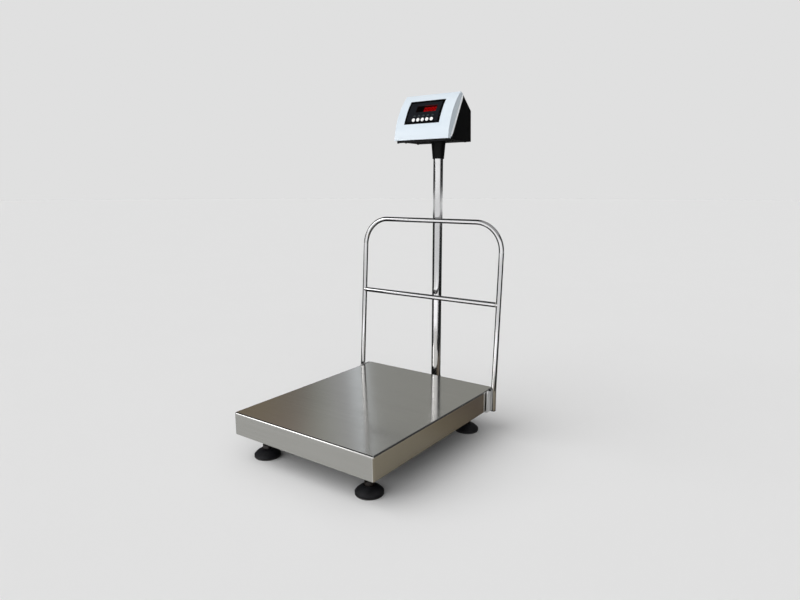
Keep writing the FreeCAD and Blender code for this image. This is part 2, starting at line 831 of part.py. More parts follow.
# ---------------------------------------------------------------- pole
def build_pole():
    plate_length = s.pole_plate_rear_y - s.pole_plate_front_y
    plate_y = pan_y + (s.pole_plate_rear_y + s.pole_plate_front_y) / 2
    plate_low = base_low - s.pole_plate
    plate = box(s.pole_plate_width, plate_length, s.pole_plate, 0, plate_y, plate_low)
    socket = rod(s.socket_tube, s.socket_top - base_low, 0, pole_y, base_low)
    gusset_y = pole_y + s.socket_tube / 2 + 4
    gusset = box(4, 16, s.gusset_height, 0, gusset_y - 4, base_low)
    bore = rod(s.pole_tube + 0.2, s.socket_top - base_low, 0, pole_y, base_low)
    wall_y = pole_y - s.socket_tube
    cable_hole = rod(s.cable_hole, s.socket_tube, 0, wall_y, s.cable_under, ALONG_Y)
    holes = [rod(s.small_screw + 0.6, s.pole_plate, x, y, plate_low) for x, y in pole_bolt_places()]
    clamp_z = s.socket_top - s.socket_clamp
    screw_y = pole_y + s.socket_tube / 2 + 6
    holes.append(rod(s.small_screw + 0.2, 30, 0, screw_y, clamp_z, Rotation(Vector(1, 0, 0), 90)))
    node(cut(fuse(plate, socket, gusset), bore, cable_hole, *holes), "pole_bracket")

    length = s.pole_top - s.pole_low
    outer = rod(s.pole_tube, length, 0, pole_y, s.pole_low)
    inner = rod(s.pole_tube - 2 * s.pole_wall, length, 0, pole_y, s.pole_low)
    entry = rod(s.cable_hole, s.socket_tube, 0, wall_y, s.cable_under, ALONG_Y)
    node(cut(outer, inner, entry), "pole")

    ring = rod(s.collar_diameter, s.collar_height, 0, pole_y, s.socket_top)
    hole = rod(s.pole_tube + 0.2, s.collar_height, 0, pole_y, s.socket_top)
    node(cut(ring, hole), "pole_collar")

    back = Rotation(Vector(1, 0, 0), 90)
    seat_y = pole_y + s.socket_tube / 2 + 1
    tip_gap = s.socket_tube / 2 + 1 - s.pole_tube / 2
    stem = rod(s.small_screw, tip_gap, 0, seat_y, clamp_z, back)
    knob = rod(s.small_head, s.small_head_height, 0, seat_y, clamp_z, ALONG_Y)
    key = hexagon(s.small_socket, 4, 0, seat_y + 3, clamp_z, ALONG_Y)
    node(cut(fuse(stem, knob), key), "pole_clamp_screw")

    bolts = [cap_screw(x, y, plate_low, s.pole_plate + 8, False) for x, y in pole_bolt_places()]
    node(fuse(*bolts), "pole_bracket_bolts")


def build_signal_cable():
    y = pan_y.value
    x = s.cable_x.value
    low = s.cable_low.value
    under = s.cable_under.value
    start_y = -s.cell_length.value / 2
    middle = (cell_low.value + cell_high.value) / 2
    pole = s.pole_y.value
    points = [
        Vector(0, y + start_y, middle),
        Vector(0, y + start_y - 26, middle),
        Vector(x, y + start_y - 26, low),
        Vector(x, y + 86, low),
        Vector(0, y + 140, low),
        Vector(0, y + 221, low),
        Vector(0, y + 243, under),
        Vector(0, y + pole, under),
        Vector(0, y + pole, s.cable_top.value),
    ]
    radii = [12.0, 12.0, 60.0, 60.0, 24.0, 24.0, 10.0]
    path = rounded_path(points, radii)
    node(feature(swept(path, s.cable_diameter.value)), "signal_cable")
    clips = []
    for along in (-30, 55):
        clip_y = pan_y + along
        height = s.cable_low + 6 - cell_plate_high
        block = box(s.clip_width, s.clip_length, height, s.cable_x, clip_y, cell_plate_high)
        tunnel_y = clip_y - s.clip_length
        bore = s.cable_diameter + 1.2
        tunnel = rod(bore, 2 * s.clip_length, s.cable_x, tunnel_y, s.cable_low + 0.6, ALONG_Y)
        clips.append(cut(block, tunnel))
    node(fuse(*clips), "cable_clips")
    rings = []
    for end in (-1, 1):
        face_y = pan_y + base_y + end * s.base_tube / 2
        turn = ALONG_Y if end > 0 else Rotation(Vector(1, 0, 0), 90)
        back = Rotation(Vector(1, 0, 0), 90) if end > 0 else ALONG_Y
        flange = rod(s.grommet_flange, 1.5, 0, face_y, s.cable_low, turn)
        sleeve = rod(s.grommet_diameter, s.base_wall + 1, 0, face_y, s.cable_low, back)
        way = rod(s.cable_diameter + 1, 12, 0, face_y - 6, s.cable_low, ALONG_Y)
        rings.append(cut(fuse(flange, sleeve), way))
    node(fuse(*rings), "cable_grommets")


# ---------------------------------------------------------------- display head
def radial(angle, out):
    """The y and z of a point at an angle on the cover's arc, out from its surface."""
    reach = s.cover_radius + out
    return pan_y + s.cover_axis_y - reach * cosine(angle), s.cover_axis_z + reach * sine(angle)


def outward(angle):
    """The turn that points the Z axis square out of the cover at an angle on its arc."""
    return Rotation(Vector(1, 0, 0), 90 - as_size(angle).value)


def panel_rod(diameter, x, angle, low, high):
    """A round rod square to the cover, between two distances out from its surface."""
    y, z = radial(angle, low)
    return rod(diameter, as_size(high) - low, x, y, z, outward(angle))


def board_box(width, height, x, along, low, high):
    """A block square to the main board, between two distances out from the cover's surface."""
    y, z = radial(s.board_angle, low)
    shift = as_size(along) - as_size(height) / 2
    item = bind(doc.addObject("Part::Box", "Block"), Length=width, Width=height, Height=as_size(high) - low)
    put(
        item,
        as_size(x) - as_size(width) / 2,
        y + shift * sine(s.board_angle),
        z + shift * cosine(s.board_angle),
        outward(s.board_angle),
    )
    return item


def cover_sheet(width, x, low_angle, high_angle, low, high):
    """A curved sheet that follows the cover, between two distances out from its surface."""
    inner = s.cover_radius + low
    points = [
        (*radial(low_angle, low), inner),
        radial(low_angle, high),
        (*radial(high_angle, high), -(s.cover_radius + high)),
        radial(high_angle, low),
    ]
    return prism("YZ_Plane", points, as_size(x) - as_size(width) / 2, width)


def key_places():
    return [s.key_x + (number - 3) * s.key_pitch for number in range(1, 6)]


def rear_wall(z):
    """The y of the rear housing's outer face at a height."""
    return pan_y + s.rear_y - (as_size(z) - shell_low) * rear_slope


def build_front_cover():
    wall = s.head_wall
    lens = prism(
        "YZ_Plane",
        [
            radial(s.cover_low, 0),
            (*radial(s.cover_high, 0), -s.cover_radius),
            (pan_y + s.chord_high_y, s.chord_high_z),
            (pan_y + s.chord_low_y, s.chord_low_z),
            (pan_y + s.chord_low_y, radial(s.cover_low, 0)[1]),
        ],
        -s.head_width / 2,
        s.head_width,
    )
    inside = 0 - wall
    behind = pan_y + s.shoulder_y
    hollow_low = s.cover_low + 0.88
    hollow_high = s.cover_high - 3.5
    hollow = prism(
        "YZ_Plane",
        [
            radial(hollow_low, inside),
            (*radial(hollow_high, inside), wall - s.cover_radius),
            (behind, s.chord_high_z - 4),
            (behind, radial(hollow_low, inside)[1]),
        ],
        wall - s.head_width / 2,
        s.head_width - 2 * wall,
    )
    gap = s.key_hole_gap
    holes = [panel_rod(s.key_diameter + gap * 2, x, s.key_angle, -5, 2) for x in key_places()]
    window = cover_sheet(s.window_width, s.window_x, s.window_low, s.window_high, -4, 2)
    node(cut(lens, hollow, window, *holes), "head_front_cover")


def build_rear_housing():
    wall = s.head_wall
    front = s.seam + 0.1
    shell = prism(
        "YZ_Plane",
        [
            (pan_y + s.chord_low_y + front, shell_low),
            (pan_y + s.chord_low_y + front, s.chord_low_z),
            (pan_y + s.chord_high_y + front, s.chord_high_z),
            (pan_y + s.shoulder_y, s.shoulder_z),
            (pan_y + s.rear_y, shell_low),
        ],
        -s.rear_width / 2,
        s.rear_width,
    )
    hollow = prism(
        "YZ_Plane",
        [
            (pan_y + s.chord_low_y - 20, s.head_floor - 30),
            (pan_y + s.chord_high_y - 12.5, s.head_top),
            (pan_y + s.shoulder_y - wall + 0.2, s.shoulder_z - wall * 0.6),
            (pan_y + s.rear_y - wall + 1.4, s.head_floor - 30),
        ],
        wall - s.rear_width / 2,
        s.rear_width - 2 * wall,
    )
    bosses = []
    pilots = []
    for x, y in case_screw_places():
        bosses.append(rod(s.case_boss, s.case_boss_height, x, y, shell_low))
        pilots.append(rod(s.case_screw + 0.2, s.case_boss_height - 2, x, y, shell_low))
    inlet = rod(s.inlet_diameter + 0.2, 20, s.inlet_x, rear_wall(s.inlet_z) - 10, s.inlet_z, ALONG_Y)
    high = s.bezel_height - 2 * s.bezel_margin + 0.2
    wide = s.bezel_width - 2 * s.bezel_margin + 0.2
    opening = box(wide, 20, high, s.rocker_x, rear_wall(s.rocker_z), s.rocker_z - high / 2)
    node(cut(fuse(cut(shell, hollow), *bosses), inlet, opening, *pilots), "head_rear_housing")


def case_screw_places():
    rows = (s.case_screw_front_y, s.case_screw_rear_y)
    return [(side * s.case_screw_x, pan_y + y) for side in SIDES.values() for y in rows]


def build_head_base():
    half = s.rear_width / 2
    front = pan_y + s.plinth_front_y
    rear = pan_y + s.rear_y
    chamfer = s.plinth_chamfer
    plate = prism(
        "XY_Plane",
        [
            (chamfer - half, front),
            (half - chamfer, front),
            (half, front + chamfer),
            (half, rear),
            (-half, rear),
            (-half, front + chamfer),
        ],
        s.neck_high,
        s.head_floor - s.neck_high,
    )
    sheet = s.plinth_lip_sheet
    mitre = sheet * math.tan(math.radians(22.5))
    end = front + s.plinth_lip_reach
    lip = prism(
        "XY_Plane",
        [
            (-half, end),
            (-half, front + chamfer),
            (chamfer - half, front),
            (half - chamfer, front),
            (half, front + chamfer),
            (half, end),
            (half - sheet, end),
            (half - sheet, front + chamfer + mitre),
            (half - chamfer - mitre, front + sheet),
            (chamfer + mitre - half, front + sheet),
            (sheet - half, front + chamfer + mitre),
            (sheet - half, end),
        ],
        s.neck_high - s.plinth_lip,
        s.head_floor - s.neck_high + s.plinth_lip,
    )
    way = s.cable_diameter + 9
    holes = [rod(way, 10, 0, pole_y, s.neck_high - 2)]
    for x, y in case_screw_places():
        holes.append(rod(s.case_screw + 0.4, 10, x, y, s.neck_high - 2))
    node(cut(fuse(plate, lip), *holes), "head_base_plate")

    bore = s.pole_tube / 2 + s.running_gap
    roof = s.neck_high - s.neck_roof
    neck = turned(
        [
            (bore, s.neck_low),
            (s.neck_low_diameter / 2, s.neck_low),
            (s.neck_high_diameter / 2, s.neck_high),
            (way / 2, s.neck_high),
            (way / 2, roof),
            (bore, roof),
        ]
    )
    place(neck, 0, pole_y)
    back = Rotation(Vector(1, 0, 0), 90)
    screw_z = s.neck_low + 12
    screw_way = rod(s.neck_screw + 0.2, 30, 0, pole_y + 30, screw_z, back)
    node(cut(neck, screw_way), "neck")
    seat = pole_y + s.neck_high_diameter / 2
    stem = rod(s.neck_screw, s.neck_high_diameter / 2 - s.pole_tube / 2 - 0.4, 0, seat, screw_z, back)
    knob = rod(s.neck_screw * 1.7, s.neck_screw, 0, seat, screw_z, ALONG_Y)
    key = hexagon(s.neck_screw * 0.8, s.neck_screw, 0, seat + s.neck_screw / 2, screw_z, ALONG_Y)
    node(cut(fuse(stem, knob), key), "neck_clamp_screw")

    screws = []
    for x, y in case_screw_places():
        head = rod(s.case_screw * 2, 2, x, y, s.neck_high, DOWNWARD)
        screws.append(fuse(head, rod(s.case_screw, s.case_screw_length, x, y, s.neck_high)))
    node(fuse(*screws), "housing_screws")


def build_panel():
    overlay = cover_sheet(
        s.overlay_width, s.overlay_x, s.overlay_low, s.overlay_high, 0, s.overlay_sheet
    )
    window = cover_sheet(s.window_width, s.window_x, s.window_low, s.window_high, -1, 2)
    gap = s.key_hole_gap
    holes = [panel_rod(s.key_diameter + gap * 2, x, s.key_angle, -2, 3) for x in key_places()]
    node(cut(overlay, window, *holes), "display_overlay")
    edge = 0.15
    turn = math.degrees(edge / s.cover_radius.value)
    filter_sheet = cover_sheet(
        s.window_width - 2 * edge,
        s.window_x,
        s.window_low + turn,
        s.window_high - turn,
        s.overlay_sheet - s.window_sheet,
        s.overlay_sheet - 0.1,
    )
    node(filter_sheet, "display_window")
    for number, x in enumerate(key_places(), start=1):
        low = -s.head_wall - 0.5 - s.key_flange_sheet
        cap = panel_rod(s.key_diameter, x, s.key_angle, low, s.key_proud)
        flange = panel_rod(s.key_flange, x, s.key_angle, low, low + s.key_flange_sheet)
        node(fuse(cap, flange), f"key_{number}")


def build_electronics():
    front = -s.board_depth
    back = front - s.board_sheet
    width = s.display_width
    module = board_box(width, s.display_height, s.window_x, s.display_along, front, -s.display_front)
    node(module, "led_display")
    parts = [board_box(s.board_width, s.board_height, 0, 0, back, front)]
    for x in key_places():
        parts.append(board_box(s.switch_size, s.switch_size, x, -s.switch_along, front, -s.switch_top))
    parts.append(board_box(14, 7, s.plug_x, -s.plug_along, back - s.plug_depth, back))
    node(fuse(*parts), "main_board")
    rear = pan_y + s.battery_rear_y
    middle = rear - s.battery_depth / 2
    pack = box(s.battery_width, s.battery_depth, s.battery_height, s.battery_x, middle, s.battery_low)
    node(pack, "battery")
    plug_y, plug_z = radial(s.board_angle, back - s.plug_depth)
    plug = Vector(
        s.plug_x.value,
        (plug_y - s.plug_along * sine(s.board_angle)).value,
        (plug_z - s.plug_along * cosine(s.board_angle)).value,
    )
    out = Vector(0, cosine(s.board_angle).value, -sine(s.board_angle).value)
    start = Vector(0, pole_y.value, s.cable_top.value)
    points = [start, start + Vector(0, 0, 16), plug + out * 24, plug]
    radii = [9.0, 14.0]
    node(feature(swept(rounded_path(points, radii), s.cable_diameter.value)), "head_lead")


def build_rear_fittings():
    z = s.inlet_z
    seat = rear_wall(z - s.inlet_flange / 2)
    back = Rotation(Vector(1, 0, 0), 90)
    flange = rod(s.inlet_flange, 1.5, s.inlet_x, seat, z, ALONG_Y)
    barrel = rod(s.inlet_diameter, s.inlet_length - 1.5, s.inlet_x, seat, z, back)
    depth = s.inlet_length - 4
    bore = rod(s.inlet_bore, depth, s.inlet_x, seat + 1.5, z, back)
    pin = rod(s.inlet_pin, depth - 0.5, s.inlet_x, seat + 1, z, back)
    node(fuse(cut(fuse(flange, barrel), bore), pin), "power_inlet")

    z = s.rocker_z
    face = pan_y + bezel_seat_y
    rim_y = face + s.bezel_sheet / 2
    rim = box(s.bezel_width, s.bezel_sheet, s.bezel_height, s.rocker_x, rim_y, z - s.bezel_height / 2)
    wide = s.bezel_width - 2 * s.bezel_margin
    high = s.bezel_height - 2 * s.bezel_margin
    body = box(wide, s.bezel_depth, high, s.rocker_x, face - s.bezel_depth / 2, z - high / 2)
    well_depth = s.bezel_depth - 1.5 + s.bezel_sheet
    well_y = face + s.bezel_sheet - well_depth / 2
    well_height = s.rocker_height + 2.4
    well = box(s.rocker_width + 0.7, well_depth, well_height, s.rocker_x, well_y, z - well_height / 2)
    outer = face + s.bezel_sheet
    pivot = outer - s.rocker_pivot
    pin_start = s.rocker_x - s.rocker_pin_length / 2
    hole_length = s.rocker_pin_length + 2 * s.running_gap
    hole_start = pin_start - s.running_gap
    pin_hole = rod(s.rocker_pin + 2 * s.running_gap, hole_length, hole_start, pivot, z, ALONG_X)
    node(cut(fuse(rim, body), well, pin_hole), "switch_bezel")

    half = s.rocker_height / 2
    rocker = prism(
        "YZ_Plane",
        [
            (pivot - s.rocker_depth / 2, z - half / 2),
            (pivot, z - half),
            (outer + 0.3, z - half),
            (outer + 0.7, z),
            (outer + s.rocker_proud, z + half),
            (pivot, z + half),
            (pivot - s.rocker_depth / 2, z + half / 2),
        ],
        s.rocker_x - s.rocker_width / 2,
        s.rocker_width,
    )
    pin = rod(s.rocker_pin, s.rocker_pin_length, pin_start, pivot, z, ALONG_X)
    node(fuse(rocker, pin), "power_rocker")
    print("rocker pivot y", round(pivot.value, 3), "z", z.value)


# ---------------------------------------------------------------- build, check and write
def check_and_write():
    doc.recompute()
    failed = [item.Name for item in doc.Objects if {"Invalid", "Error"} & set(item.State)]
    if failed:
        raise SystemExit(f"failed objects: {failed}")
    labels = [item.Label for item in nodes]
    if len(set(labels)) != len(labels) or len(labels) > 60:
        raise SystemExit("each node needs its own label, and there may be at most 60")
    for item in nodes:
        if item.Shape.isNull() or not item.Shape.isValid() or not item.Shape.Solids:
            raise SystemExit(f"{item.Label} has no valid solid")
    os.makedirs("parts", exist_ok=True)
    whole = FreeCAD.BoundBox()
    for item in nodes:
        whole.add(item.Shape.BoundBox)
        item.Shape.exportStep(f"parts/{item.Label}.step")
    print(f"{len(nodes)} nodes, box {whole}")


build_base()
build_feet()
build_foot_nuts()
build_overload_stops()
build_spirit_level()
build_load_cell()
build_cell_fixings()
build_top_frame()
build_pan()
build_guard_rail()
build_rail_brackets()
build_pole()
build_signal_cable()
build_front_cover()
build_rear_housing()
build_head_base()
build_panel()
build_electronics()
build_rear_fittings()
check_and_write()
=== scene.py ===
import math

import bmesh
import bpy
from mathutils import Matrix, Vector


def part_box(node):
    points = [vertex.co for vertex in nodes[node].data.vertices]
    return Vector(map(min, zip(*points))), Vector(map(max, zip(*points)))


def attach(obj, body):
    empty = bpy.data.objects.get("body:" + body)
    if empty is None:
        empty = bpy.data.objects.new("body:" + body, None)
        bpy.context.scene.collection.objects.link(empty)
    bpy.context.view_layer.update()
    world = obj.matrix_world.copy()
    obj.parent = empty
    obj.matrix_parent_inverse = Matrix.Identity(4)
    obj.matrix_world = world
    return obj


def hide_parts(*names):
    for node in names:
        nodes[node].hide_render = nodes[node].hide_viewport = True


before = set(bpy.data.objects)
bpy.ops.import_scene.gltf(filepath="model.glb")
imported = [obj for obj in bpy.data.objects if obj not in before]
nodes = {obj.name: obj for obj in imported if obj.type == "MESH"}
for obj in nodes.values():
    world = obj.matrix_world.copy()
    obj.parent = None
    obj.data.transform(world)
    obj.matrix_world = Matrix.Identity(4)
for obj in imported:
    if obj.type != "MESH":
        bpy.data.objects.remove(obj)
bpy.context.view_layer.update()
scene = bpy.context.scene
scene.view_settings.view_transform = "Standard"

MM = 0.001
FLOOR_TONE = 0.745          # how bright the floor and the backdrop look

# ---------------------------------------------------------------- the camera
HEADING = math.radians(35.54)       # to the left of +Y, seen from above
DOWNWARD = 10.52                    # degrees below the horizon
FROM_PAN = (0.8522, -1.0757)        # from the pan's middle, in metres
EYE_HEIGHT = 0.6080
camera_data = bpy.data.cameras.new("camera")
camera_data.lens = 26.79
camera_data.sensor_width = 36
camera = bpy.data.objects.new("camera", camera_data)
pan_low, pan_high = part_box("pan")
pan_middle = (pan_low + pan_high) / 2
camera.location = (pan_middle.x + FROM_PAN[0], pan_middle.y + FROM_PAN[1], EYE_HEIGHT)
camera.rotation_euler = (math.radians(90 - DOWNWARD), 0, HEADING)
scene.collection.objects.link(camera)
scene.camera = camera
AHEAD = Vector((-math.sin(HEADING), math.cos(HEADING), 0))
RIGHT = Vector((math.cos(HEADING), math.sin(HEADING), 0))


# ------------------------------------------------------------- node building
class Net:
    """A node tree with short calls that add one node each and return its output."""

    def __init__(self, tree):
        self.tree = tree

    def add(self, kind, inputs, output=0, **settings):
        node = self.tree.nodes.new(kind)
        for key, value in settings.items():
            setattr(node, key, value)
        for key, value in inputs.items():
            self.feed(node.inputs[key], value)
        return node.outputs[output]

    def feed(self, socket, value):
        if isinstance(value, bpy.types.NodeSocket):
            self.tree.links.new(value, socket)
        elif value is not None:
            socket.default_value = value

    def math(self, operation, a, b=0.0):
        return self.add("ShaderNodeMath", {0: a, 1: b}, operation=operation)

    def plus(self, a, b):
        return self.math("ADD", a, b)

    def minus(self, a, b):
        return self.math("SUBTRACT", a, b)

    def times(self, a, b):
        return self.math("MULTIPLY", a, b)

    def absolute(self, a):
        return self.math("ABSOLUTE", a)

    def dot(self, a, b):
        return self.add("ShaderNodeVectorMath", {0: a, 1: b}, output=1, operation="DOT_PRODUCT")

    def span(self, value, low, high, first=0.0, last=1.0, smooth=False):
        kind = "SMOOTHSTEP" if smooth else "LINEAR"
        inputs = {0: value, 1: low, 2: high, 3: first, 4: last}
        return self.add("ShaderNodeMapRange", inputs, interpolation_type=kind)

    def blend(self, share, first, last):
        inputs = {0: share, 6: first, 7: last}
        return self.add("ShaderNodeMix", inputs, output=2, data_type="RGBA")

    def ramp(self, value, stops):
        node = self.tree.nodes.new("ShaderNodeValToRGB")
        self.feed(node.inputs[0], value)
        points = node.color_ramp.elements
        while len(points) < len(stops):
            points.new(0.5)
        for point, (at, colour) in zip(points, stops):
            point.position = at
            point.color = tone(colour)
        return node.outputs[0]

    def stretched(self, place, scale):
        """A place whose noise runs long where the scale is small."""
        return self.add("ShaderNodeMapping", {"Vector": place, "Scale": scale})

    def noise(self, place, scale, detail=3.0, rough=0.55):
        inputs = {"Vector": place, "Scale": scale, "Detail": detail, "Roughness": rough}
        return self.add("ShaderNodeTexNoise", inputs)

    def cells(self, place, scale):
        return self.add("ShaderNodeTexVoronoi", {"Vector": place, "Scale": scale}, feature="F1")


def tone(colour):
    """A colour with its alpha, from three numbers or from one grey."""
    if isinstance(colour, (int, float)):
        colour = (colour, colour, colour)
    return (*colour, 1.0)


class Finish(Net):
    """A procedural material on one Principled shader."""

    def __init__(self, name, **sockets):
        self.material = bpy.data.materials.new(name)
        self.material.use_nodes = True
        super().__init__(self.material.node_tree)
        self.shader = self.tree.nodes["Principled BSDF"]
        coordinates = self.tree.nodes.new("ShaderNodeTexCoord")
        self.place = coordinates.outputs["Object"]
        self.normal = coordinates.outputs["Normal"]
        for key, value in sockets.items():
            self.shader.inputs[key.replace("_", " ")].default_value = value

    def split(self, vector=None):
        node = self.tree.nodes.new("ShaderNodeSeparateXYZ")
        self.feed(node.inputs[0], vector or self.place)
        return node.outputs[0], node.outputs[1], node.outputs[2]

    def colour(self, value):
        self.feed(self.shader.inputs["Base Color"], value)

    def roughness(self, value):
        self.feed(self.shader.inputs["Roughness"], value)

    def bump(self, height, strength, distance):
        inputs = {"Height": height, "Strength": strength, "Distance": distance}
        self.feed(self.shader.inputs["Normal"], self.add("ShaderNodeBump", inputs))


# ------------------------------------------------------------------ finishes
def brushed_steel(name, shade, rough, low, high, edge_highlight=0.5, metal=1.0):
    """Sheet steel with a brushed grain along X that runs down the bent sides, and polished bends whose colour
    is also lightened as a painted highlight.

    The box from low to high says where the bends are. Its X runs evenly to both sides of zero.
    """
    f = Finish(name, Metallic=metal)
    x, y, z = f.split()
    side = f.math("GREATER_THAN", f.absolute(f.split(f.normal)[0]), 0.7)
    along_top = f.noise(f.stretched(f.place, (5, 620, 620)), 1.0, 5.0, 0.65)
    along_side = f.noise(f.stretched(f.place, (620, 620, 5)), 1.0, 5.0, 0.65)
    grain = f.blend(side, along_top, along_side)
    broad_top = f.noise(f.stretched(f.place, (1.5, 75, 75)), 1.0, 3.0)
    cloud = f.noise(f.place, 5.0, 4.0, 0.6)
    wipe = f.noise(f.stretched(f.place, (9, 3, 9)), 1.0, 5.0, 0.7)
    edge_x = f.span(f.absolute(x), high.x - 5 * MM, high.x - 1 * MM, smooth=True)
    edge_front = f.span(y, low.y + 5 * MM, low.y + 1 * MM, smooth=True)
    edge_back = f.span(y, high.y - 5 * MM, high.y - 1 * MM, smooth=True)
    near_top = f.span(z, high.z - 7 * MM, high.z - 2 * MM, smooth=True)
    edge_y = f.math("MAXIMUM", edge_front, edge_back)
    edge = f.times(f.math("MAXIMUM", edge_x, edge_y), near_top)
    dull = tuple(c * 0.93 for c in shade)
    bright = tuple(min(1.0, c * 1.05) for c in shade)
    body = f.blend(f.span(grain, 0.3, 0.7), tone(dull), tone(bright))
    # painted highlight: the colour of the bends is lightened towards 0.74
    f.colour(f.blend(f.times(edge, edge_highlight), body, tone(0.74)))
    value = f.span(grain, 0.25, 0.75, rough - 0.03, rough + 0.03)
    value = f.plus(value, f.span(cloud, 0.35, 0.65, -0.02, 0.03))
    value = f.plus(value, f.span(broad_top, 0.3, 0.7, -0.012, 0.012))
    value = f.plus(value, f.span(wipe, 0.55, 0.75, 0.0, 0.03))
    f.roughness(f.minus(value, f.times(edge, 0.05)))
    f.bump(grain, 0.08, 0.10 * MM)
    return f


def polished_steel():
    """Polished tube with fine drawing lines, a slight haze and small specks."""
    f = Finish("polished_tube", Metallic=1.0)
    lines = f.noise(f.stretched(f.place, (900, 900, 40)), 1.0, 4.0, 0.6)
    haze = f.noise(f.place, 14.0, 4.0, 0.65)
    specks = f.cells(f.place, 210.0)
    clean = f.blend(f.span(haze, 0.35, 0.7), tone((0.80, 0.80, 0.81)), tone((0.72, 0.72, 0.73)))
    f.colour(f.blend(f.span(specks, 0.05, 0.14, 0.4, 0.0), clean, tone(0.52)))
    value = f.span(haze, 0.3, 0.75, 0.045, 0.12)
    f.roughness(f.plus(value, f.span(lines, 0.3, 0.7, 0.0, 0.04)))
    f.bump(lines, 0.05, 0.08 * MM)
    return f


def painted_frame():
    """Black paint with a fine peel, dusty on the faces that look up."""
    f = Finish("frame_paint", Metallic=0.0, Specular_IOR_Level=0.5)
    peel = f.noise(f.place, 330.0, 2.0, 0.5)
    cloud = f.noise(f.place, 9.0, 4.0, 0.6)
    dust = f.noise(f.stretched(f.place, (30, 30, 12)), 1.0, 6.0, 0.7)
    up = f.span(f.split(f.normal)[2], 0.4, 0.95)
    base = f.blend(f.span(cloud, 0.3, 0.7), tone((0.016, 0.017, 0.018)), tone((0.030, 0.030, 0.031)))
    dusty = f.times(up, f.span(dust, 0.42, 0.7, 0.05, 0.35))
    f.colour(f.blend(dusty, base, tone((0.14, 0.135, 0.125))))
    f.roughness(f.span(cloud, 0.3, 0.7, 0.36, 0.5))
    f.bump(peel, 0.35, 0.3 * MM)
    return f


def zinc_plate():
    f = Finish("zinc_steel", Metallic=1.0)
    flakes = f.cells(f.place, 420.0)
    cloud = f.noise(f.place, 60.0, 4.0, 0.6)
    turned = f.noise(f.stretched(f.place, (300, 300, 2600)), 1.0, 3.0)
    base = f.blend(f.span(cloud, 0.3, 0.7), tone((0.66, 0.64, 0.58)), tone((0.52, 0.53, 0.54)))
    f.colour(f.blend(f.span(flakes, 0.1, 0.6, 0.0, 0.35), base, tone((0.73, 0.71, 0.63))))
    f.roughness(f.span(cloud, 0.3, 0.7, 0.26, 0.42))
    f.bump(turned, 0.2, 0.12 * MM)
    return f


def milled_aluminium():
    f = Finish("cell_aluminium", Metallic=1.0)
    lines = f.noise(f.stretched(f.place, (1300, 14, 1300)), 1.0, 4.0, 0.6)
    cloud = f.noise(f.place, 24.0, 4.0, 0.6)
    f.colour(f.blend(f.span(lines, 0.3, 0.7), tone((0.74, 0.75, 0.76)), tone((0.83, 0.84, 0.85))))
    f.roughness(f.span(cloud, 0.3, 0.7, 0.28, 0.42))
    f.bump(lines, 0.25, 0.10 * MM)
    return f


def moulded_black(name, dark, light, rough, grain, depth):
    """Black moulding with the fine eroded texture of its tool."""
    f = Finish(name, Specular_IOR_Level=0.14)
    fine = f.noise(f.place, grain, 3.0, 0.6)
    pits = f.cells(f.place, grain * 0.8)
    cloud = f.noise(f.place, 11.0, 4.0, 0.6)
    scuff = f.noise(f.stretched(f.place, (25, 25, 90)), 1.0, 6.0, 0.75)
    base = f.blend(f.span(cloud, 0.3, 0.7), tone(dark), tone(light))
    lighter = tuple(c * 2.2 + 0.002 for c in light)
    f.colour(f.blend(f.span(scuff, 0.6, 0.8, 0.0, 0.5), base, tone(lighter)))
    value = f.span(cloud, 0.3, 0.7, rough - 0.04, rough + 0.05)
    f.roughness(f.plus(value, f.span(scuff, 0.55, 0.75, 0.0, 0.08)))
    f.bump(f.plus(fine, f.times(pits, 0.5)), 0.3, depth)
    return f


def moulded_rubber():
    """Black rubber, dusty low down where it meets the ground."""
    f = Finish("foot_rubber", Specular_IOR_Level=0.42)
    z = f.split()[2]
    fine = f.noise(f.place, 900.0, 3.0, 0.6)
    cloud = f.noise(f.place, 26.0, 5.0, 0.65)
    base = f.blend(f.span(cloud, 0.3, 0.7), tone((0.0085, 0.0085, 0.010)), tone((0.018, 0.018, 0.021)))
    low = f.times(f.span(z, 5 * MM, 0.5 * MM), f.span(cloud, 0.35, 0.65, 0.15, 0.75))
    f.colour(f.blend(low, base, tone((0.085, 0.080, 0.072))))
    f.roughness(f.span(cloud, 0.3, 0.7, 0.34, 0.48))
    f.bump(fine, 0.25, 0.15 * MM)
    return f


def inside_overlay(f, x, z, margin_x, margin_z):
    """How far a place lies inside the overlay's outline, in X and in Z, less the two margins."""
    low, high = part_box("display_overlay")
    middle, half = (low + high) / 2, (high - low) / 2
    in_x = f.minus(half.x - margin_x, f.absolute(f.minus(x, middle.x)))
    in_z = f.minus(half.z - margin_z, f.absolute(f.minus(z, middle.z)))
    return in_x, in_z


def moulded_white():
    """The pale blue-white moulding of the cover, with painted shade: near black inside the overlay's outline,
    where the walls of the display opening show through the red window.
    """
    f = Finish("cover_white", Specular_IOR_Level=0.5, Coat_Weight=0.25, Coat_Roughness=0.18)
    fine = f.noise(f.place, 1500.0, 2.0, 0.5)
    flow = f.noise(f.stretched(f.place, (6, 20, 20)), 1.0, 4.0, 0.6)
    wear = f.noise(f.place, 46.0, 6.0, 0.75)
    base = f.blend(f.span(flow, 0.3, 0.7), tone((0.615, 0.690, 0.757)), tone((0.655, 0.722, 0.775)))
    skin_tone = f.blend(f.span(wear, 0.62, 0.8, 0.0, 0.3), base, tone((0.54, 0.60, 0.65)))
    x, _, z = f.split()
    in_x, in_z = inside_overlay(f, x, z, 1 * MM, 1 * MM)
    # painted shade: the cover turns near black inside the overlay's outline, so the display opening's walls
    # read dark
    opening_shade = f.times(f.math("GREATER_THAN", in_x, 0.0), f.math("GREATER_THAN", in_z, 0.0))
    f.colour(f.blend(opening_shade, skin_tone, tone(0.0008)))
    f.roughness(f.span(flow, 0.3, 0.7, 0.30, 0.40))
    f.bump(fine, 0.12, 0.06 * MM)
    return f


